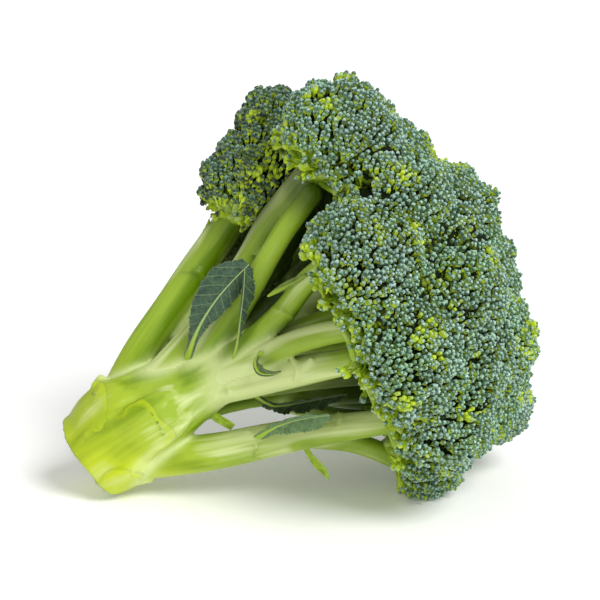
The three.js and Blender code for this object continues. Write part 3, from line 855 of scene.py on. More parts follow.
def skin_colour(tree, colours, fibre, tone, inner, strand):
    """The skin's colour away from the cushions: ragged green streaks and fine strands on a pale ground,
    yellow near the cut, pale in the axils, and painted shade in deep green among the branches."""
    yellow, pale, dark = tone[:3]
    stretched = add(tree, "Mapping", {"Vector": fibre, "Scale": [1 / size for size in STREAK_SIZE]})
    streak = add(tree, "TexNoise", {"Vector": stretched, "Scale": 1.0, "Detail": 2.0, "Roughness": 0.5,
                                    "Distortion": 0.2})
    lifted = add(tree, "Math", {0: dark, 1: 0.22, 2: -0.1}, operation="MULTIPLY_ADD")
    level = add(tree, "Math", {0: streak, 1: lifted}, operation="ADD")
    fine = add(tree, "Math", {0: strand, 1: 0.14, 2: -0.07}, operation="MULTIPLY_ADD")
    mixed = add(tree, "Math", {0: level, 1: fine}, operation="ADD")
    skin = add(tree, "ValToRGB", {"Fac": mixed},
               [(0.38, colours.skin_pale), (0.48, colours.skin_mid), (0.54, colours.skin_mid),
                (0.66, colours.skin_dark)])
    near_cut = add(tree, "ValToRGB", {"Fac": mixed},
                   [(0.34, blend(colours.cut, colours.skin_yellow, 0.4)), (0.5, colours.skin_yellow),
                    (0.78, blend(colours.skin_yellow, colours.skin_dark, 0.7))])
    warmed = add(tree, "Mix", {"Factor": yellow, 6: skin, 7: near_cut}, data_type="RGBA")
    paleness = add(tree, "Math", {0: pale, 1: 0.85}, operation="MULTIPLY")
    axil = add(tree, "Mix", {"Factor": paleness, 6: warmed, 7: (*colours.skin_pale, 1)}, data_type="RGBA")
    # Painted shade: the skin turns deep green among the branches, in the hollows and under the crown
    deep = add(tree, "Math", {0: inner, 1: 0.92}, operation="MULTIPLY")
    return add(tree, "Mix", {"Factor": deep, 6: axil, 7: (*colours.skin_painted_shade, 1)}, data_type="RGBA")


def marked_colour(tree, colours, skin, fibre, edge, fade, pit):
    """The skin's colour with the leaf cushions' marks on it: a painted highlight, a little more yellow,
    along the lip over 2.4 mm, painted shade, darker, in the groove outside it over 1.4 mm, and ragged pits."""
    lip = [(0.0, grey(0)), (0.6, grey(0.55)), (0.8, grey(0.55)), (1.0, grey(0))]
    groove = [(0.0, grey(0)), (0.35, grey(0.3)), (1.0, grey(0))]
    # Painted highlight along each cushion's lip, and painted shade in the groove outside it
    for start, end, stops, colour in ((-2.4, 0.0, lip, colours.skin_yellow),
                                      (-0.3, 1.1, groove, colours.skin_dark)):
        across = add(tree, "MapRange", {"Value": edge, 1: start, 2: end, 3: 0.0, 4: 1.0})
        band = add(tree, "ValToRGB", {"Fac": across}, stops)
        share = add(tree, "Math", {0: band, 1: fade}, operation="MULTIPLY")
        skin = add(tree, "Mix", {"Factor": share, 6: skin, 7: (*colour, 1)}, data_type="RGBA")
    ragged = add(tree, "TexNoise", {"Vector": fibre, "Scale": 1 / PIT_RAGS})
    torn = add(tree, "Math", {0: ragged, 1: 2.2, 2: pit}, operation="MULTIPLY_ADD")
    sunk = add(tree, "MapRange", {"Value": torn, 1: 0.2, 2: 1.1, 3: 0.85, 4: 0.0})
    return add(tree, "Mix", {"Factor": sunk, 6: skin, 7: (*colours.pit, 1)}, data_type="RGBA")


def cut_colour(tree, colours, fibre):
    """The cut face's colour from its middle out: damp pale pith, a greener ring of fibres, and the skin."""
    flat = add(tree, "VectorMath", {0: fibre, 1: (1, 1, 0)}, operation="MULTIPLY")
    from_middle = add(tree, "VectorMath", {0: flat}, operation="LENGTH")
    ring = add(tree, "Math", {0: from_middle, 1: 1 / CUT_RADIUS}, operation="MULTIPLY")
    grain = add(tree, "TexNoise", {"Vector": flat, "Scale": 1 / CUT_GRAIN, "Detail": 3.0})
    wobble = add(tree, "Math", {0: grain, 1: 0.1, 2: -0.05}, operation="MULTIPLY_ADD")
    ringed = add(tree, "Math", {0: ring, 1: wobble}, operation="ADD")
    return add(tree, "ValToRGB", {"Fac": ringed},
               [(0.0, colours.cut), (0.66, colours.cut), (0.74, colours.skin_mid), (0.8, colours.skin_pale),
                (0.9, colours.skin_mid), (0.97, colours.skin_dark)])


def stem_skin_material(colours):
    """Smooth raw stem skin, grown and waxy: pale ridges with ragged green streaks, yellow near the cut,
    a damp satin shine and a little light through the tissue. It carries painted shade among the branches and
    in the cushions' grooves, and a painted highlight along the cushions' lips."""
    material, tree, shader = new_material("stem_skin_waxy")
    read = {name: add(tree, "Attribute", attribute_name=name).outputs
            for name in ("fibre", "tone", "inner", "edge", "pit", "cut")}
    fibre, edge, fade = read["fibre"]["Vector"], read["edge"]["Fac"], read["tone"]["Alpha"]
    tone = add(tree, "SeparateColor", {"Color": read["tone"]["Color"]}).outputs
    strands = add(tree, "Mapping", {"Vector": fibre, "Scale": [1 / size for size in STRAND_SIZE]})
    strand = add(tree, "TexNoise", {"Vector": strands, "Scale": 1.0, "Detail": 3.0})
    skin = skin_colour(tree, colours, fibre, tone, read["inner"]["Fac"], strand)
    marked = marked_colour(tree, colours, skin, fibre, edge, fade, read["pit"]["Fac"])
    # The cut face begins within 1 mm of the plane of the cut
    on_cut = add(tree, "MapRange", {"Value": read["cut"]["Fac"], 1: -0.9, 2: -0.35, 3: 0.0, 4: 1.0})
    whole = add(tree, "Mix", {"Factor": on_cut, 6: marked, 7: cut_colour(tree, colours, fibre)},
                data_type="RGBA")
    # Strands stand out except in the axils, and a cushion's edge stands above the groove
    apart = add(tree, "Math", {0: 1.0, 1: tone[1]}, operation="SUBTRACT")
    height = add(tree, "Math", {0: strand, 1: apart}, operation="MULTIPLY")
    drop = add(tree, "MapRange", {"Value": edge, 1: -0.5, 2: 0.5, 3: 3.0, 4: 0.0})
    dropped = add(tree, "Math", {0: drop, 1: fade, 2: height}, operation="MULTIPLY_ADD")
    bump = add(tree, "Bump", {"Height": dropped, "Strength": 0.2, "Distance": 0.0004})
    shine = add(tree, "MapRange", {"Value": strand, 1: 0.3, 2: 0.7, 3: 0.34, 4: 0.5})
    fill(tree, shader, {"Base Color": whole, "Roughness": shine, "Normal": bump, "IOR": 1.4,
                        "Subsurface Weight": 0.18, "Subsurface Radius": (1.0, 1.0, 0.3),
                        "Subsurface Scale": 0.003})
    return material


# Florets

HEXAGON = 0.866  # a cell of a hexagonal pattern covers this times the square of its spacing
HALF_CELL = 0.6  # from the middle to the edge of a lobe or a cluster, by their spacing
LOBE_JITTER = 0.09  # how far a lobe is off its place, in radians
LOBE_RISES = (0.55, 1.25)  # the lowest and the highest lobe, by the lobe height
LOBE_SINK = 0.8  # how far the whole surface is drawn in for the lobes' sake, by the lobe height
RAY_ROUNDS = 5
RAY_LIMITS = (0.8, 1.35)  # the least and the greatest distance of the surface, by the floret's radius
OWN_BORDER = 0.8  # florets overlap by this much where they meet
BUD_JITTER = 0.1  # how far a bud is off its place on the spiral, by the spacing
CLUSTER_JITTER = 0.8  # how far a cluster is off its place
RIM_BELT = (0.1, 0.75)  # where the rim's looks are full and where they end, as cosines above the rim's
UNEVENNESS = 0.35  # random height of a cluster and of a bud
UPWARD = [0, 0, 0.4]  # how much the buds turn up besides along the branch
RIM_SPREAD = 0.85  # how much less they turn that way at the rim
LOBE_LEAN = 0.6  # how far a bud leans away from its lobe's middle
RIM_LEAN = 0.4  # and how much further at the rim
CLUSTER_LEAN = 0.4  # how far it leans away from its cluster's middle
BUD_TILT = 0.14  # and at random
RIM_GROWTH = 0.1  # how much larger the buds are at the rim
BUD_SIZES = (0.78, 1.18)  # the smallest and the largest bud, by the size that its place gives
RIM_WAVE = (0.07, 16)  # the rim's wave: its height as a cosine and its length
BUD_FLOOR_GAP = 0.9  # between the floor and the lowest buds' tips
LOWEST_BASE = -1  # a bud whose base lies below this height is left out
STEM_CLEARANCE = 0.4  # a bud's base is at least this far outside every stem
RIM_GAPS = 0.38  # share of the buds that are missing at the rim
LOST_CLUSTERS = 0.18  # and of the clusters
LOST_BELT = 0.6  # how near the rim these are, from 0 to 1
RIM_RIPENESS = 0.85
RIM_STALK = 4  # how much longer a bud's stalk is at the rim, by its length elsewhere
RIPE_WAVE = 20  # size of the soft patches of riper buds


def spiral_directions(count, generator):
    """Directions spread evenly over a sphere: along a golden-angle spiral the height falls by even steps.
    The spiral is then turned at random."""
    index = np.arange(count) + 0.5
    height = 1 - 2 * index / count
    turn = GOLDEN_ANGLE * index
    ring = np.sqrt(1 - height ** 2)
    spiral = np.stack([ring * np.cos(turn), ring * np.sin(turn), height], 1)
    axes, _ = np.linalg.qr(generator.normal(size=(3, 3)))
    return spiral @ axes


def even_directions(radius, spacing, jitter, generator):
    """Directions to points on a sphere that stand about a spacing apart, each a little off its place."""
    count = round(4 * math.pi * radius ** 2 / (HEXAGON * spacing ** 2))
    directions = spiral_directions(count, generator)
    return unit(directions + generator.normal(0, jitter, directions.shape))


def two_across(directions):
    """Two unit vectors at right angles to each direction and to each other."""
    helper = np.where(np.abs(directions[:, 2:]) < 0.9, [[0.0, 0, 1]], [[1.0, 0, 0]])
    first = unit(np.cross(directions, helper))
    return first, np.cross(directions, first)


def crown_distance(points, softness):
    """Distance to the soft union of the florets' balls, which is -k ln(sum of exp(-distance / k)) with k the
    softness, and to each ball."""
    each = ball_distances(points, np.array(list(FLORETS.values()), float))
    lowest = each.min(1, keepdims=True)
    return lowest[:, 0] - softness * np.log(np.exp((lowest - each) / softness).sum(1)), each


def nearest_of(directions, centres, radius):
    """For each direction: which of the centres is nearest, and how far along the sphere, in millimetres."""
    closeness = directions @ centres.T
    best = closeness.argmax(1)
    rows = np.arange(len(directions))
    return best, radius * np.sqrt(np.maximum(2 - 2 * closeness[rows, best], 0))


def stem_clearance(points, routes):
    """Distance to the nearest stem's surface, negative inside."""
    return ball_distances(points, np.concatenate(list(routes.values()))).min(1)


def tube_faces(rings, sides):
    """Quads between rings of points and triangles that close both ends. The points are ring after ring, and
    then the middles of the first end and of the last."""
    start = np.arange(rings - 1)[:, None] * sides
    here = start + np.arange(sides)
    after = start + (np.arange(sides) + 1) % sides
    quads = np.stack([here, after, after + sides, here + sides], 2).reshape(-1, 4)
    first = np.arange(sides)
    second = (first + 1) % sides
    last = (rings - 1) * sides
    triangles = np.concatenate([
        np.stack([second, first, np.full(sides, rings * sides)], 1),
        np.stack([last + first, last + second, np.full(sides, rings * sides + 1)], 1)])
    return quads, triangles


def repeat_faces(faces, count, stride):
    """The same faces for each of a count of shapes, whose points follow one another a stride apart."""
    return (faces[None] + np.arange(count)[:, None, None] * stride).reshape(-1, faces.shape[1])


def bud_points():
    """The points of one bud: its outline turned round the axis, with four soft sepal ridges, and the middles
    of both ends."""
    angles = np.arange(BUD_SIDES) * 2 * math.pi / BUD_SIDES
    outline = np.array(BUD_OUTLINE)
    ridges = 1 + SEPAL_RIDGE * np.cos(BUD_SEPALS * angles)
    ring = np.stack([np.cos(angles) * ridges, np.sin(angles) * ridges], 1)
    sides = outline[:, 1, None, None] * ring[None]
    heights = np.broadcast_to(outline[:, 0, None, None], (len(outline), BUD_SIDES, 1))
    return np.concatenate([np.concatenate([sides, heights], 2).reshape(-1, 3),
                           [[0, 0, outline[0, 0] - BUD_FOOT], [0, 0, 1.0]]])


def copies(points, base, across, third, axis, width, length, stalk):
    """The points at each base, along each axis, scaled by width across it and by length along it. The part
    below the base is stretched by the stalk's factor, and thickened by a quarter of it."""
    below = points[None, :, 2] < 0
    along = points[None, :, 2] * np.where(below, stalk[:, None], 1)
    wide = width[:, None] * np.where(below, 1 + 0.25 * (stalk[:, None] - 1), 1)
    placed = (base[:, None] + (points[None, :, 0] * wide)[..., None] * across[:, None]
              + (points[None, :, 1] * wide)[..., None] * third[:, None]
              + (along * length[:, None])[..., None] * axis[:, None])
    return placed.reshape(-1, 3)


def soft_noise(points, generator, wavelength, waves=7):
    """A smooth random value at each point: the sum of a few sine waves that run in random directions."""
    directions = unit(generator.normal(size=(waves, 3))) * (2 * math.pi / wavelength)
    directions *= generator.uniform(0.7, 1.4, (waves, 1))
    phases = generator.uniform(0, 2 * math.pi, waves)
    return np.sin(points @ directions.T + phases).sum(1) / math.sqrt(waves)


class FloretForm:
    """The soft surface of one floret, as a distance from its middle for each direction."""

    def __init__(self, name, sizes, generator):
        *middle, self.radius = FLORETS[name]
        self.middle = np.array(middle, float)
        self.index = list(FLORETS).index(name)
        # Painted shade taken off the tint of this floret's buds
        self.shade = SHADES.get(name, 0)
        self.axis = unit(self.middle - FLORET_ROOT)
        self.rim = math.cos(math.radians(WIDE_RIMS.get(name, RIM_ANGLE)))
        self.sizes = sizes
        self.lobes = even_directions(self.radius, sizes["lobe_spacing"], LOBE_JITTER, generator)
        self.lobe_rise = generator.uniform(*LOBE_RISES, len(self.lobes))

    def surface(self, directions):
        """Distance from the middle to the bud tips' surface, and the lean away from the lobe's middle.
        The soft union of all florets is met by steps along the ray, and each lobe adds a low dome."""
        nearest, furthest = (limit * self.radius for limit in RAY_LIMITS)
        distance = np.full(len(directions), self.radius)
        for _ in range(RAY_ROUNDS):
            gap, _ = crown_distance(self.middle + directions * distance[:, None], self.sizes["furrow"])
            distance = np.clip(distance - gap, nearest, furthest)
        best, away = nearest_of(directions, self.lobes, self.radius)
        share = np.clip(away / (HALF_CELL * self.sizes["lobe_spacing"]), 0, 1.2)
        dome = self.lobe_rise[best] * self.sizes["lobe_height"] * (1 - share ** 2)
        lean = (directions - self.lobes[best]) * self.radius / self.sizes["lobe_spacing"]
        return distance + dome - LOBE_SINK * self.sizes["lobe_height"], lean

    def own(self, points):
        """Which points belong to this floret rather than to a neighbour."""
        _, each = crown_distance(points, self.sizes["furrow"])
        return each[:, self.index] <= each.min(1) + OWN_BORDER

    def over_floor(self, directions, distance, gap):
        """The distances cut short so that they end this gap above the floor."""
        down = np.maximum(-directions[:, 2], 1e-3)
        return np.minimum(distance, (self.middle[2] - gap) / down)


def bud_growth(away, sizes):
    """Size of a bud by how far it stands from its lobe's middle: the inner size there, and 1 from half the
    lobes' spacing on."""
    return sizes["inner_bud"] + (1 - sizes["inner_bud"]) * smooth_step(0, 0.5 * sizes["lobe_spacing"], away)


def bud_directions(form, generator):
    """Directions along a golden-angle spiral round the middle of each lobe, and the buds' sizes. The
    spiral's steps cover areas as large as the square of the bud's size, so that small buds stand closer,
    and it ends where another lobe is nearer. Buds are smaller towards the crown's pole."""
    sizes = form.sizes
    reach = np.linspace(0, sizes["lobe_spacing"], 300)
    cell = HEXAGON * (sizes["bud_spacing"] * bud_growth(reach, sizes)) ** 2
    total = np.cumsum(2 * math.pi * reach * reach[1] / cell)
    index = np.arange(int(total[-1])) + 0.5
    away = np.interp(index, total, reach)
    young = 1 - (1 - sizes["young_bud"]) * smooth_step(-0.3, 1, form.lobes @ unit(CROWN_POLE))
    angle = (young[:, None] * away / form.radius)[..., None]
    turn = (GOLDEN_ANGLE * index + generator.uniform(0, FULL_TURN, (len(form.lobes), 1)))[..., None]
    first, second = two_across(form.lobes)
    outward = np.cos(turn) * first[:, None] + np.sin(turn) * second[:, None]
    directions = (np.cos(angle) * form.lobes[:, None] + np.sin(angle) * outward).reshape(-1, 3)
    jitter = BUD_JITTER * sizes["bud_spacing"] / form.radius
    directions = unit(directions + generator.normal(0, jitter, directions.shape))
    lobe = np.repeat(np.arange(len(form.lobes)), len(index))
    nearest, _ = nearest_of(directions, form.lobes, form.radius)
    growth = (young[:, None] * bud_growth(away, sizes)).ravel()
    return directions[nearest == lobe], growth[nearest == lobe]


def bud_looks(form, generator, tips, cluster, clusters, at_rim):
    """How ripe each bud is, its tint, and how long its stalk is beside a plain one. Riper buds stand in soft
    patches, in the listed ones and at the rim, where the stalks are long. The tint is random, less its
    floret's painted shade."""
    ripe = 0.3 + 0.5 * smooth_step(-0.2, 1.6, soft_noise(tips, generator, RIPE_WAVE))
    for x, y, z, reach in RIPE_PATCHES:
        ripe = np.maximum(ripe, smooth_step(reach, reach * 0.3, np.linalg.norm(tips - [x, y, z], axis=1)))
    ripe = np.maximum(ripe, RIM_RIPENESS * at_rim) * generator.uniform(0.3, 1.3, len(ripe))
    tint = generator.uniform(0, 0.6, clusters)[cluster] + generator.uniform(0, 0.4, len(ripe))
    stalk = 1 + RIM_STALK * at_rim * generator.uniform(0.5, 1.2, len(ripe))
    return ripe.clip(0, 1), tint - form.shade, stalk


def place_buds(form, generator, routes):
    """Buds over the whole floret. Each leans from the surface's normal towards the way its branch grows,
    upwards, and away from the middle of its lobe and of its cluster. Clusters rise a little above their
    edges. Some buds are left out at the rim, which is wavy, and all those that a neighbour or a stem would
    cover."""
    sizes = form.sizes
    directions, growth = bud_directions(form, generator)
    middles = even_directions(form.radius, sizes["cluster_spacing"], CLUSTER_JITTER / form.radius, generator)
    cluster, away = nearest_of(directions, middles, form.radius)
    share = away / (HALF_CELL * sizes["cluster_spacing"])
    sideways = (directions - middles[cluster]) * form.radius
    polar = directions @ form.axis
    at_rim = smooth_step(form.rim + RIM_BELT[1], form.rim + RIM_BELT[0], polar)
    distance, lean = form.surface(directions)
    distance = distance + sizes["cluster_height"] * (0.5 - share ** 2)
    distance = distance + generator.normal(0, UNEVENNESS, len(middles))[cluster] * (1 + at_rim)
    distance = distance + generator.normal(0, UNEVENNESS, len(distance)) * (1 + at_rim)
    upright = sizes["upright"] * (1 - RIM_SPREAD * at_rim)[:, None] * (form.axis + UPWARD)
    axis = unit(directions + upright + (LOBE_LEAN + RIM_LEAN * at_rim)[:, None] * lean
                + CLUSTER_LEAN * sideways / (0.5 * sizes["cluster_spacing"])
                + generator.normal(0, BUD_TILT, directions.shape))
    size = growth * (1 + RIM_GROWTH * at_rim) * generator.uniform(*BUD_SIZES, len(share))
    # A floret that lies on the floor is flattened there
    distance = form.over_floor(directions, distance, BUD_FLOOR_GAP)
    tips = form.middle + directions * distance[:, None]
    rim = form.rim + RIM_WAVE[0] * soft_noise(tips, generator, RIM_WAVE[1])
    base = tips - axis * (sizes["bud_length"] * size)[:, None]
    keep = (polar > rim) & form.own(base) & (stem_clearance(base, routes) > STEM_CLEARANCE)
    keep &= base[:, 2] > LOWEST_BASE
    keep &= generator.random(len(polar)) > RIM_GAPS * at_rim
    keep &= (generator.random(len(middles)) > LOST_CLUSTERS)[cluster] | (at_rim < LOST_BELT)
    looks = bud_looks(form, generator, tips, cluster, len(middles), at_rim)
    return [values[keep] for values in (base, axis, size, *looks)]


def bud_mesh(form, generator, routes):
    """All the buds of a floret, and for each point its share of the bud's height, a tint that is random but
    for its floret's painted shade, how ripe the bud is, and 1 on the back of a sepal but 0 between two."""
    base, axis, size, ripe, tint, stalk = place_buds(form, generator, routes)
    count = len(base)
    across, third = two_across(axis)
    turn = generator.uniform(0, FULL_TURN, count)[:, None]
    turned = np.cos(turn) * across + np.sin(turn) * third
    width = form.sizes["bud_width"] / 2 * size * generator.uniform(0.92, 1.1, count)
    length = form.sizes["bud_length"] * size * generator.uniform(0.94, 1.1, count)
    bud = bud_points()
    points = copies(bud, base, turned, np.cross(axis, turned), axis, width, length, stalk)
    points[:, 2] = np.maximum(points[:, 2], 0.05)
    quads, triangles = (repeat_faces(faces, count, len(bud))
                        for faces in tube_faces(len(BUD_OUTLINE), BUD_SIDES))
    height = np.clip((np.tile(bud[:, 2], count) + 0.5) / 1.5, 0, 1)
    ridge = 0.5 + 0.5 * np.cos(BUD_SEPALS * np.arctan2(bud[:, 1], bud[:, 0]))
    looks = [np.repeat(values, len(bud)) for values in (tint, ripe)]
    return points, quads, triangles, np.stack([height, *looks, np.tile(ridge, count)], 1)


CORE_RINGS = 33
CORE_SIDES = 56
CORE_DEPTH = 0.85  # how far the core lies under the buds' tips, by the buds' length
CORE_WAIST = 0.6  # how much it draws in under the floret
CORE_FLOOR_GAP = 2
# Where the core draws in, and where it looks like the floret's underside, as cosines above the rim's
WAIST_BELT = (0.6, -0.35)
UNDER_BELT = (0.9, 0.1)


def core_mesh(form):
    """The tissue under the buds: a closed ball on a grid of two angles, whose radius follows the bud
    surface from below and draws in under the floret, where the twigs are. Also how far under the floret
    each point is, from 0 to 1."""
    polar = np.linspace(0, math.pi, CORE_RINGS + 2)[1:-1, None]
    turn = (np.arange(CORE_SIDES) * 2 * math.pi / CORE_SIDES)[None]
    first, second = two_across(form.axis[None])
    ring = ((np.sin(polar) * np.cos(turn))[..., None] * first
            + (np.sin(polar) * np.sin(turn))[..., None] * second)
    directions = (ring + np.cos(polar)[..., None] * form.axis).reshape(-1, 3)
    directions = np.vstack([directions, form.axis, -form.axis])
    distance, _ = form.surface(directions)
    height = directions @ form.axis
    drawn_in = smooth_step(form.rim + WAIST_BELT[0], form.rim + WAIST_BELT[1], height)
    distance = (distance - form.sizes["bud_length"] * CORE_DEPTH) * (1 - CORE_WAIST * drawn_in)
    distance = form.over_floor(directions, distance, CORE_FLOOR_GAP)
    quads, triangles = tube_faces(CORE_RINGS, CORE_SIDES)
    # The rings run down the axis, so the faces are turned over to point outwards
    return (form.middle + directions * distance[:, None], quads[:, [0, 3, 2, 1]], triangles[:, [1, 0, 2]],
            smooth_step(form.rim + UNDER_BELT[0], form.rim + UNDER_BELT[1], height))


TWIG_RINGS = 8
TWIG_SIDES = 7
TWIG_FOOT = 2.3  # a twig's radius where it leaves the branch
TWIG_TAPER = 1.3
TWIG_BELT = (0.85, -0.1)  # the lobes that have twigs, as cosines above the rim's
TWIG_GAP = 0.6  # from a twig's end to the buds' bases
TWIG_JITTER = 0.8
# A twig's start down the branch, and its bend down the branch and out to the lobe, by the floret's radius
TWIG_START = 0.75
FAR_TWIG_START = 1.2
TWIG_BEND = (0.28, 0.52)
FAR_SIDE = 20  # the florets whose middles lie beyond this y have the far start


def twig_mesh(form, generator):
    """The twigs that carry the lobes: thin tapered tubes that leave the branch together and bend out to
    each lobe, along a curve of the second degree."""
    polar = form.lobes @ form.axis
    lobes = form.lobes[(polar < form.rim + TWIG_BELT[0]) & (polar > form.rim + TWIG_BELT[1])]
    distance, _ = form.surface(lobes)
    ends = form.middle + lobes * (distance - form.sizes["bud_length"] - TWIG_GAP)[:, None]
    down = FAR_TWIG_START if form.middle[1] > FAR_SIDE else TWIG_START
    start = form.middle - form.axis * form.radius * down
    bends = form.middle - form.axis * form.radius * TWIG_BEND[0] + lobes * form.radius * TWIG_BEND[1]
    bends += generator.normal(0, TWIG_JITTER, bends.shape)
    t = np.linspace(0, 1, TWIG_RINGS)[None, :, None]
    line = (1 - t) ** 2 * start + 2 * t * (1 - t) * bends[:, None] + t ** 2 * ends[:, None]
    count = len(lobes)
    radius = (TWIG_FOOT - TWIG_TAPER * t) * generator.uniform(0.8, 1.15, (count, 1, 1))
    direction = unit(np.gradient(line, axis=1))
    side = unit(np.cross(direction, form.axis + 0.01))
    third = np.cross(direction, side)
    angles = (np.arange(TWIG_SIDES) * 2 * math.pi / TWIG_SIDES)[:, None]
    tube = (line[:, :, None] + radius[:, :, None] * (np.cos(angles) * side[:, :, None]
                                                     + np.sin(angles) * third[:, :, None]))
    points = np.concatenate([tube.reshape(count, -1, 3), line[:, [0, -1]]], 1)
    quads, triangles = (repeat_faces(faces, count, points.shape[1])
                        for faces in tube_faces(TWIG_RINGS, TWIG_SIDES))
    points = points.reshape(-1, 3)
    points[:, 2] = np.maximum(points[:, 2], 0.3)
    return points, quads, triangles


def build_floret(name, sizes, routes, materials):
    """One floret as one piece: its buds, the twigs and the tissue between them."""
    generator = np.random.default_rng([SEED, list(FLORETS).index(name)])
    form = FloretForm(name, sizes, generator)
    *buds, bud_colour = bud_mesh(form, generator, routes)
    twigs = twig_mesh(form, generator)
    *core, under = core_mesh(form)
    parts = [buds, twigs, core]
    shifts = np.cumsum([0] + [len(part[0]) for part in parts])
    points = np.concatenate([part[0] for part in parts])
    quads, triangles = (np.concatenate([part[k] + shift for part, shift in zip(parts, shifts)])
                        for k in (1, 2))
    colour = np.zeros((len(points), 4))
    colour[:len(bud_colour)] = bud_colour
    colour[shifts[2]:, 2] = under
    mesh = mesh_of(name + "_buds", points, quads, triangles, {"bud": colour})
    slots = np.concatenate([np.full(len(part[k]), i) for k in (1, 2) for i, part in enumerate(parts)])
    mesh.polygons.foreach_set("material_index", slots.astype(np.int32))
    mesh.polygons.foreach_set("use_smooth", slots > 0)
    add_piece(name + "_buds", mesh, [name], materials)


# Sizes of the patterns on the buds, the twigs and the tissue between them
WAX_BLOTCH = 0.7143
BLUE_PATCH = 25
TWIG_BLOTCH = 6.25
STALK_WIDTH = 1.6667


def bud_material(colours):
    """Closed flower buds, grown, with a waxy bloom: blue-green caps that are paler and greyer at the tip,
    on a yellow-green base, matt with a faint sheen. The pale tip is partly a painted highlight, and painted
    shade darkens the foot of the cap and the seams between the sepals."""
    material, tree, shader = new_material("flower_bud_waxy")
    bud = add(tree, "Attribute", attribute_name="bud")
    parts = add(tree, "SeparateColor", {"Color": bud.outputs["Color"]})
    height, tint, ripe = parts.outputs[0], parts.outputs[1], parts.outputs[2]
    place = add(tree, "TexCoord").outputs["Object"]
    mottle = add(tree, "TexNoise", {"Vector": place, "Scale": per_metre(WAX_BLOTCH), "Detail": 2.0})
    patch = add(tree, "TexNoise", {"Vector": place, "Scale": per_metre(BLUE_PATCH), "Detail": 2.0})
    shifted = add(tree, "Math", {0: mottle, 1: 0.5, 2: -0.25}, operation="MULTIPLY_ADD")
    mottled = add(tree, "Math", {0: height, 1: shifted}, operation="ADD")
    # Painted light and shade: the cap's foot is mixed with the near-black painted shade, and its paler tip
    # is partly painted highlight and partly waxy bloom
    cap = add(tree, "ValToRGB", {"Fac": mottled},
              [(0.3, blend(colours.bud_stalk, colours.shade, 0.7)), (0.58, colours.bud_side),
               (0.8, colours.bud_side), (1.02, colours.bud_tip)])
    blue = add(tree, "HueSaturation", {"Color": cap, "Hue": 0.56, "Saturation": 0.8, "Value": 1.0})
    blued = add(tree, "MapRange", {"Value": patch, 1: 0.42, 2: 0.62, 3: 0.1, 4: 1.5})
    mixing = add(tree, "Math", {0: tint, 1: blued}, operation="MULTIPLY", use_clamp=True)
    bluish = add(tree, "Mix", {"Factor": mixing, 6: cap, 7: blue}, data_type="RGBA")
    # The tint also carries the painted shade of the florets at the upper left
    lightness = add(tree, "MapRange", {"Value": tint, 1: 0.0, 2: 1.0, 3: 0.7, 4: 1.55}, clamp=False)
    # Painted light and shade: the backs of the sepals are painted paler and the seams between them darker
    sepal = add(tree, "MapRange", {"Value": bud.outputs["Alpha"], 1: 0.0, 2: 1.0, 3: 0.6, 4: 1.2})
    light = add(tree, "Math", {0: lightness, 1: sepal}, operation="MULTIPLY")
    varied = add(tree, "HueSaturation", {"Color": bluish, "Value": light})
    yellowing = add(tree, "MapRange", {"Value": ripe, 1: 0.55, 2: 1.0, 3: 0.0, 4: 0.85})
    ripened = add(tree, "Mix", {"Factor": yellowing, 6: varied, 7: (*colours.bud_ripe, 1)}, data_type="RGBA")
    # The riper a bud, the higher its yellow-green base reaches
    level = add(tree, "Math", {0: ripe, 1: -0.45, 2: height}, operation="MULTIPLY_ADD")
    foot = add(tree, "MapRange", {"Value": level, 1: 0.42, 2: 0.62, 3: 1.0, 4: 0.0})
    based = add(tree, "Mix", {"Factor": foot, 6: ripened, 7: (*colours.bud_stalk, 1)}, data_type="RGBA")
    bump = add(tree, "Bump", {"Height": mottle, "Strength": 0.25, "Distance": 0.0002})
    fill(tree, shader, {"Base Color": based, "Normal": bump, "Roughness": 0.52, "IOR": 1.4,
                        "Sheen Weight": 0.08})
    return material


def twig_material(colours):
    """Thin green twigs, grown, with a smooth damp skin: yellow-green with paler blotches."""
    material, tree, shader = new_material("twig_skin")
    place = add(tree, "TexCoord").outputs["Object"]
    noise = add(tree, "TexNoise", {"Vector": place, "Scale": per_metre(TWIG_BLOTCH), "Detail": 2.0})
    skin = add(tree, "ValToRGB", {"Fac": noise},
               [(0.25, colours.skin_dark), (0.5, colours.twig), (0.85, colours.skin_pale)])
    bump = add(tree, "Bump", {"Height": noise, "Strength": 0.1, "Distance": 0.0004})
    fill(tree, shader, {"Base Color": skin, "Normal": bump, "Roughness": 0.45, "IOR": 1.4})
    return material


def tissue_material(colours):
    """The crowded stalks under the buds, grown: rough, near-black painted shade with yellow-green specks on
    top, where the gaps between the buds are shaded, and yellow-green under the floret, with painted shade in
    the creases."""
    material, tree, shader = new_material("bud_stalk_tissue")
    place = add(tree, "TexCoord").outputs["Object"]
    specks = add(tree, "TexVoronoi", {"Vector": place, "Scale": per_metre(STALK_WIDTH)})
    # Painted shade: near-black on top between the buds, and in the creases underneath
    upper = add(tree, "ValToRGB", {"Fac": specks},
                [(0.04, colours.twig), (0.22, colours.shade), (1.0, colours.shade)])
    lower = add(tree, "ValToRGB", {"Fac": specks},
                [(0.1, colours.bud_stalk), (0.4, colours.twig), (0.7, colours.shade)])
    bud = add(tree, "Attribute", attribute_name="bud")
    parts = add(tree, "SeparateColor", {"Color": bud.outputs["Color"]})
    skin = add(tree, "Mix", {"Factor": parts.outputs[2], 6: upper, 7: lower}, data_type="RGBA")
    bump = add(tree, "Bump", {"Height": specks, "Strength": 0.8, "Distance": 0.001}, invert=True)
    fill(tree, shader, {"Base Color": skin, "Normal": bump, "Roughness": 0.7, "Specular IOR Level": 0.12})
    return material


# Leaves

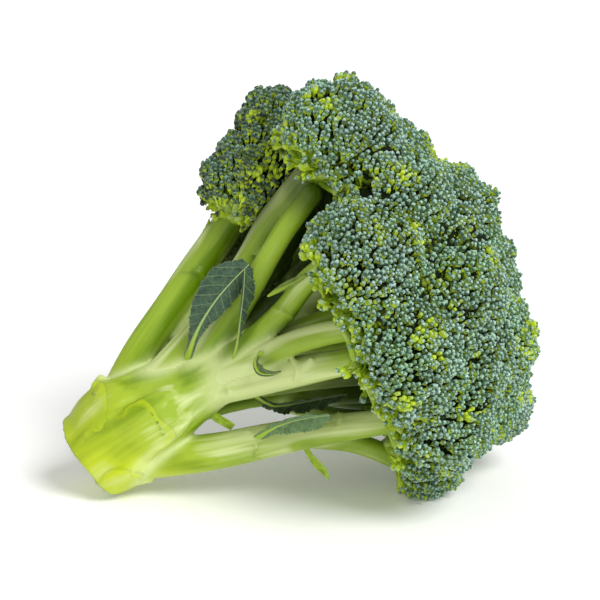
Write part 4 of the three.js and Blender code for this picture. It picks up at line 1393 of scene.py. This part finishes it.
LEAF_STEP = 0.45
LEAF_COLUMNS = 41
LEAST_HALF_WIDTH = 0.3
VEIN_SLANT = 0.9  # how far a side vein runs on along the midrib for each step away from it
VEIN_DEPTH = 0.09
RIPPLE = 0.35
RIPPLE_TURN = 0.9  # radians of the ripple for each millimetre along the leaf
RIPPLE_SLANT = 2.2  # and from the midrib to the margin
TOOTH_DRIFT = 0.3  # how uneven the teeth are, by their spacing
BLADE_WIDTHS = (1.6, 3.2)  # teeth, veins and ripples fade out where the half blade is between these widths
RIB_TAPER = 1.3  # how much wider the midrib is at its foot than at its tip
# Sizes of the patterns on the blade: its lighter and darker patches, and the net of the finest veins
LEAF_PATCH = 2.2222
VEIN_NET = 1.6667


def leaf_mesh(leaf, sizes, seed):
    """A leaf on a grid of the way along its midrib and the way across. The blade folds up along the
    midrib, cups and ripples towards its margin, which is cut into teeth; the midrib swells out of both
    faces, and the blade bulges between the side veins. Also the place of each point on the blade, and its
    distance from the midrib by the midrib's width."""
    generator = np.random.default_rng([SEED, seed])
    routes = smooth_route(np.column_stack([leaf["path"], leaf["left"], leaf["right"]]), LEAF_STEP)
    places, widths = routes[:, :3], np.maximum(routes[:, 3:], LEAST_HALF_WIDTH)
    travelled, _, across, third = frames_along(places, unit(np.array(leaf["across"])))
    total = travelled[-1]
    along = travelled[:, None]
    share = np.linspace(-1, 1, LEAF_COLUMNS)[None]
    half = np.where(share < 0, widths[:, :1], widths[:, 1:])
    drift = TOOTH_DRIFT * np.sin(along * 1.7)
    saw = np.mod(along / sizes["tooth_spacing"] + generator.uniform(0, 1) + drift, 1)
    blade = smooth_step(*BLADE_WIDTHS, half)
    end = smooth_step(0, 2.5, total - along)
    sideways = share * (half - sizes["tooth"] * (1 - saw) * blade * end)
    fold = math.radians(leaf["fold"])
    vein = np.cos(2 * math.pi * (np.abs(sideways) * VEIN_SLANT + along) / sizes["vein_spacing"])
    turns = along * RIPPLE_TURN + RIPPLE_SLANT * share + generator.uniform(0, 6)
    ripple = RIPPLE * np.sin(turns) * share ** 2 * blade
    lift = (np.abs(sideways) * math.sin(fold) + leaf["cup"] * sideways ** 2 / np.maximum(half, 1) + ripple
            - VEIN_DEPTH * vein * blade * smooth_step(0.1, 0.4, np.abs(share)))
    middle = (places[:, None] + (sideways * math.cos(fold))[..., None] * across[:, None]
              + lift[..., None] * third[:, None])
    taper = RIB_TAPER * (1 - along / total) ** 3
    rib = sizes["midrib"] * (1 - 0.75 * along / total) * bell(sideways, 0, 0.3 + taper)
    edge = 1 - 0.7 * smooth_step(0.8, 1.0, np.abs(share))
    thick = (sizes["thickness"] / 2 * edge + rib)[..., None] * third[:, None]
    points = np.concatenate([(middle + thick).reshape(-1, 3), (middle - thick).reshape(-1, 3)])
    index = np.arange(sideways.size).reshape(sideways.shape)
    sheet = np.stack([index[:-1, :-1], index[:-1, 1:], index[1:, 1:], index[1:, :-1]], 2).reshape(-1, 4)
    rim = np.concatenate([index[0, :-1], index[:-1, -1], index[-1, :0:-1], index[:0:-1, 0]])
    onward = np.roll(rim, -1)
    back = sideways.size
    wall = np.stack([rim, rim + back, onward + back, onward], 1)
    quads = np.concatenate([sheet[:, ::-1], sheet + back, wall[:, ::-1]])
    blade_place = np.stack(np.broadcast_arrays(sideways, along, share), 2).reshape(-1, 3)
    from_rib = (np.abs(sideways) / (0.2 + taper)).ravel()
    return points, quads, np.tile(blade_place, (2, 1)), np.tile(from_rib, 2)


def leaf_material(name, yellow, light, colours, sizes):
    """A small raw leaf, grown, with a grey waxy bloom: blue-green blade, pale midrib and side veins, and
    a paler margin. Younger ones are yellow-green. The leaves that lie in shade are painted darker by their
    lightness."""
    material, tree, shader = new_material(name)
    place = add(tree, "Attribute", attribute_name="blade_place").outputs["Vector"]
    parts = add(tree, "SeparateXYZ", {"Vector": place})
    side = add(tree, "Math", {0: parts.outputs[0]}, operation="ABSOLUTE")
    noise = add(tree, "TexNoise", {"Vector": place, "Scale": 1 / LEAF_PATCH, "Detail": 3.0})
    fine = add(tree, "TexVoronoi", {"Vector": place, "Scale": 1 / VEIN_NET}, feature="DISTANCE_TO_EDGE")
    slant = add(tree, "Math", {0: side, 1: VEIN_SLANT, 2: parts.outputs[1]}, operation="MULTIPLY_ADD")
    bent = add(tree, "Math", {0: noise, 1: 1.6, 2: slant}, operation="MULTIPLY_ADD")
    turns = add(tree, "Math", {0: bent, 1: 1 / sizes["vein_spacing"]}, operation="MULTIPLY")
    phase = add(tree, "Math", {0: turns}, operation="FRACT")
    veins = add(tree, "ValToRGB", {"Fac": phase},
                [(0.0, grey(0.5)), (0.05, grey(0)), (0.95, grey(0)), (1.0, grey(0.5))])
    from_rib = add(tree, "Attribute", attribute_name="from_rib")
    rib = add(tree, "MapRange", {"Value": from_rib.outputs["Fac"], 1: 0.7, 2: 1.3, 3: 1.0, 4: 0.0})
    net = add(tree, "MapRange", {"Value": fine, 1: 0.0, 2: 0.1, 3: 0.12, 4: 0.0})
    lines = add(tree, "Math", {0: veins, 1: net}, operation="MAXIMUM")
    drawn = add(tree, "Math", {0: lines, 1: rib}, operation="MAXIMUM")
    # Painted shade: the lightness darkens the leaves that lie in shade
    base = [light * value for value in blend(colours.leaf, colours.leaf_young, yellow)]
    deep = [0.5 * value for value in base]
    rib_colour = blend(colours.vein, colours.leaf_young, 0.7 * yellow)
    blade = add(tree, "ValToRGB", {"Fac": noise}, [(0.3, deep), (0.62, base)])
    edge = add(tree, "Math", {0: parts.outputs[2]}, operation="ABSOLUTE")
    margin = add(tree, "MapRange", {"Value": edge, 1: 0.93, 2: 1.0, 3: 0.0, 4: 0.5})
    pale = blend(base, rib_colour, 0.4)
    rimmed = add(tree, "Mix", {"Factor": margin, 6: blade, 7: (*pale, 1)}, data_type="RGBA")
    # The midrib is yellow up to 8 mm and pale from 26 mm on
    foot = add(tree, "MapRange", {"Value": parts.outputs[1], 1: 8.0, 2: 26.0, 3: 1.0, 4: 0.15})
    ribs = add(tree, "Mix", {"Factor": foot, 6: (*rib_colour, 1), 7: (*colours.leaf_young, 1)},
               data_type="RGBA")
    whole = add(tree, "Mix", {"Factor": drawn, 6: rimmed, 7: ribs}, data_type="RGBA")
    bump = add(tree, "Bump", {"Height": drawn, "Strength": 0.5, "Distance": 0.0002})
    fill(tree, shader, {"Base Color": whole, "Normal": bump, "Roughness": 0.55, "IOR": 1.42,
                        "Sheen Weight": 0.15})
    return material


def in_millimetres(group):
    """A property group's numbers by name, its lengths in millimetres."""
    return {name: getattr(group, name) / MM if prop.unit == "LENGTH" else getattr(group, name)
            for name, prop in group.bl_rna.properties.items() if prop.type == "FLOAT"}


def routes_of(stems):
    """Each stem's route with its radius, by name."""
    return {name: smooth_route(points, STEM_SAMPLE) for name, points in stems.items()}


# Operators

class OBJECT_OT_broccoli_stems(bpy.types.Operator):
    """Covers the stalk and all branches with one skin"""
    bl_idname = "object.broccoli_stems"
    bl_label = "Stems"

    def execute(self, context):
        sizes = in_millimetres(context.scene.broccoli_stems)
        routes, shoots = routes_of(STEMS), routes_of(SHOOTS)
        samples = np.concatenate(list(routes.values()))
        places, radii = samples[:, :3], samples[:, 3:]
        grid = Grid((places - radii).min(0) - SKIN_MARGIN, (places + radii).max(0) + SKIN_MARGIN,
                    sizes["skin_step"])
        for i, (name, route) in enumerate(routes.items()):
            add_stem(grid, route, sizes["fillet"], RIDGE_TURN * i, sizes["ridge"], name == "main_stalk")
        for scar in SCARS:
            add_scar(grid, routes[scar["stem"]], scar)
        for route in [*shoots.values(), *(smooth_route(points, STEM_SAMPLE) for points in OUTGROWTHS)]:
            add_stem(grid, route, SHOOT_FILLET)
        stalk = routes["main_stalk"]
        cut_place, cut_way = stalk[0, :3], unit(stalk[0, :3] - stalk[1, :3])
        plane = sum((axis - place) * way for axis, place, way in zip(grid.axes, cut_place, cut_way))
        grid.field = -unite(-grid.field, -plane.astype(np.float32), sizes["rim"])
        grid.field = np.maximum(grid.field, FLOOR_CLEARANCE - grid.axes[2].astype(np.float32))
        points, quads = skin_of(grid)
        points = smooth_skin(points, quads, SKIN_ROUNDS)
        attributes = skin_attributes(points, {**routes, **shoots}, cut_place, cut_way)
        mesh = mesh_of("stem_skin", points, quads, NO_TRIANGLES, attributes)
        material = stem_skin_material(context.scene.broccoli_colours)
        add_piece("stem_skin", mesh, list(STEMS), [material])
        return {"FINISHED"}


class OBJECT_OT_broccoli_florets(bpy.types.Operator):
    """Builds the florets of the crown, bud by bud"""
    bl_idname = "object.broccoli_florets"
    bl_label = "Florets"

    def execute(self, context):
        sizes = in_millimetres(context.scene.broccoli_florets)
        colours = context.scene.broccoli_colours
        materials = [bud_material(colours), twig_material(colours), tissue_material(colours)]
        routes = routes_of(STEMS)
        for name in FLORETS:
            build_floret(name, sizes, routes, materials)
        return {"FINISHED"}


class OBJECT_OT_broccoli_leaves(bpy.types.Operator):
    """Builds the small leaves between the branches"""
    bl_idname = "object.broccoli_leaves"
    bl_label = "Leaves"

    def execute(self, context):
        sizes = in_millimetres(context.scene.broccoli_leaves)
        colours = context.scene.broccoli_colours
        for i, (name, leaf) in enumerate(LEAVES.items()):
            points, quads, blade_place, from_rib = leaf_mesh(leaf, sizes, i)
            mesh = mesh_of(name + "_blade", points, quads, NO_TRIANGLES,
                           {"blade_place": blade_place, "from_rib": from_rib})
            material = leaf_material(name + "_tissue", leaf["yellow"], leaf["light"], colours, sizes)
            add_piece(name + "_blade", mesh, [name], [material])
        return {"FINISHED"}


class OBJECT_OT_broccoli_stage(bpy.types.Operator):
    """Sets the floor, the white room, the soft light and the camera of the photograph"""
    bl_idname = "object.broccoli_stage"
    bl_label = "Stage"

    def execute(self, context):
        scene = context.scene
        stage = scene.broccoli_stage
        self.add_floor(scene, stage.floor_size / 2)
        self.add_sky(scene, stage.sky)
        self.add_lamp(scene, stage.key, stage.spread)
        self.add_camera(scene)
        scene.view_settings.view_transform = "Standard"
        scene.view_settings.look = "None"
        return {"FINISHED"}

    def add_floor(self, scene, half):
        """A plain square at z = 0 with a matt finish, faintly lit from within so that shadows stay soft."""
        mesh = bpy.data.meshes.new("floor")
        mesh.from_pydata([(-half, -half, 0), (half, -half, 0), (half, half, 0), (-half, half, 0)], [],
                         [(0, 1, 2, 3)])
        floor = bpy.data.objects.new("floor", mesh)
        scene.collection.objects.link(floor)
        material, tree, shader = new_material("matt_white_board")
        colour = (*scene.broccoli_colours.floor, 1)
        fill(tree, shader, {"Base Color": colour, "Roughness": 0.9, "Emission Color": colour,
                            "Emission Strength": scene.broccoli_stage.glow})
        mesh.materials.append(material)

    def add_sky(self, scene, strength):
        """The same white light from every side, and a pure white backdrop where the camera looks past
        the floor."""
        world = bpy.data.worlds.new("white_room")
        world.use_nodes = True
        tree = world.node_tree
        seen = add(tree, "LightPath")
        brightness = add(tree, "MapRange", {"Value": seen.outputs["Is Camera Ray"], 1: 0.0, 2: 1.0,
                                            3: strength, 4: 1.0})
        fill(tree, tree.nodes["Background"], {"Color": (1, 1, 1, 1), "Strength": brightness})
        scene.world = world

    def add_lamp(self, scene, strength, spread):
        """One wide soft light that falls evenly, from above the camera's right shoulder."""
        light = bpy.data.lights.new("key", "SUN")
        light.energy = strength
        light.angle = spread
        lamp = bpy.data.objects.new("key", light)
        scene.collection.objects.link(lamp)
        lamp.rotation_euler = Vector(KEY_DIRECTION).to_track_quat("-Z", "Y").to_euler()

    def add_camera(self, scene):
        """The photograph's camera: level with the horizon turned down by its elevation."""
        data = bpy.data.cameras.new("camera")
        data.lens = CAMERA_LENS
        data.sensor_width = CAMERA_SENSOR
        camera = bpy.data.objects.new("camera", data)
        scene.collection.objects.link(camera)
        elevation = math.radians(CAMERA_ELEVATION)
        back = np.array([0, -math.cos(elevation), math.sin(elevation)])
        camera.location = (CAMERA_TARGET - HEAD_CENTRE + back * CAMERA_DISTANCE) * MM
        camera.rotation_euler = (math.pi / 2 - elevation, 0, 0)
        scene.camera = camera


class VIEW3D_PT_broccoli(bpy.types.Panel):
    """The steps and the sizes, in the sidebar"""
    bl_label = "Broccoli"
    bl_space_type = "VIEW_3D"
    bl_region_type = "UI"
    bl_category = "Broccoli"

    def draw(self, context):
        for operator, group in STEPS:
            box = self.layout.box()
            box.operator(operator.bl_idname)
            settings = getattr(context.scene, group)
            for name in settings.__annotations__:
                box.prop(settings, name)
        for name in context.scene.broccoli_colours.__annotations__:
            self.layout.prop(context.scene.broccoli_colours, name)


STEPS = [
    (OBJECT_OT_broccoli_stage, "broccoli_stage"),
    (OBJECT_OT_broccoli_stems, "broccoli_stems"),
    (OBJECT_OT_broccoli_florets, "broccoli_florets"),
    (OBJECT_OT_broccoli_leaves, "broccoli_leaves"),
]
GROUPS = {
    "broccoli_stage": StageSizes,
    "broccoli_stems": StemSizes,
    "broccoli_florets": FloretSizes,
    "broccoli_leaves": LeafSizes,
    "broccoli_colours": Colours,
}


def register():
    """Makes the settings, the steps and the panel known."""
    for name, group in GROUPS.items():
        bpy.utils.register_class(group)
        setattr(bpy.types.Scene, name, PointerProperty(type=group))
    for operator, _ in STEPS:
        bpy.utils.register_class(operator)
    bpy.utils.register_class(VIEW3D_PT_broccoli)


def unregister():
    """Takes them away again."""
    bpy.utils.unregister_class(VIEW3D_PT_broccoli)
    for operator, _ in reversed(STEPS):
        bpy.utils.unregister_class(operator)
    for name, group in GROUPS.items():
        delattr(bpy.types.Scene, name)
        bpy.utils.unregister_class(group)


def main():
    """Builds everything in order."""
    register()
    bpy.ops.object.broccoli_stage()
    bpy.ops.object.broccoli_stems()
    bpy.ops.object.broccoli_florets()
    bpy.ops.object.broccoli_leaves()


if __name__ == "__main__":
    main()
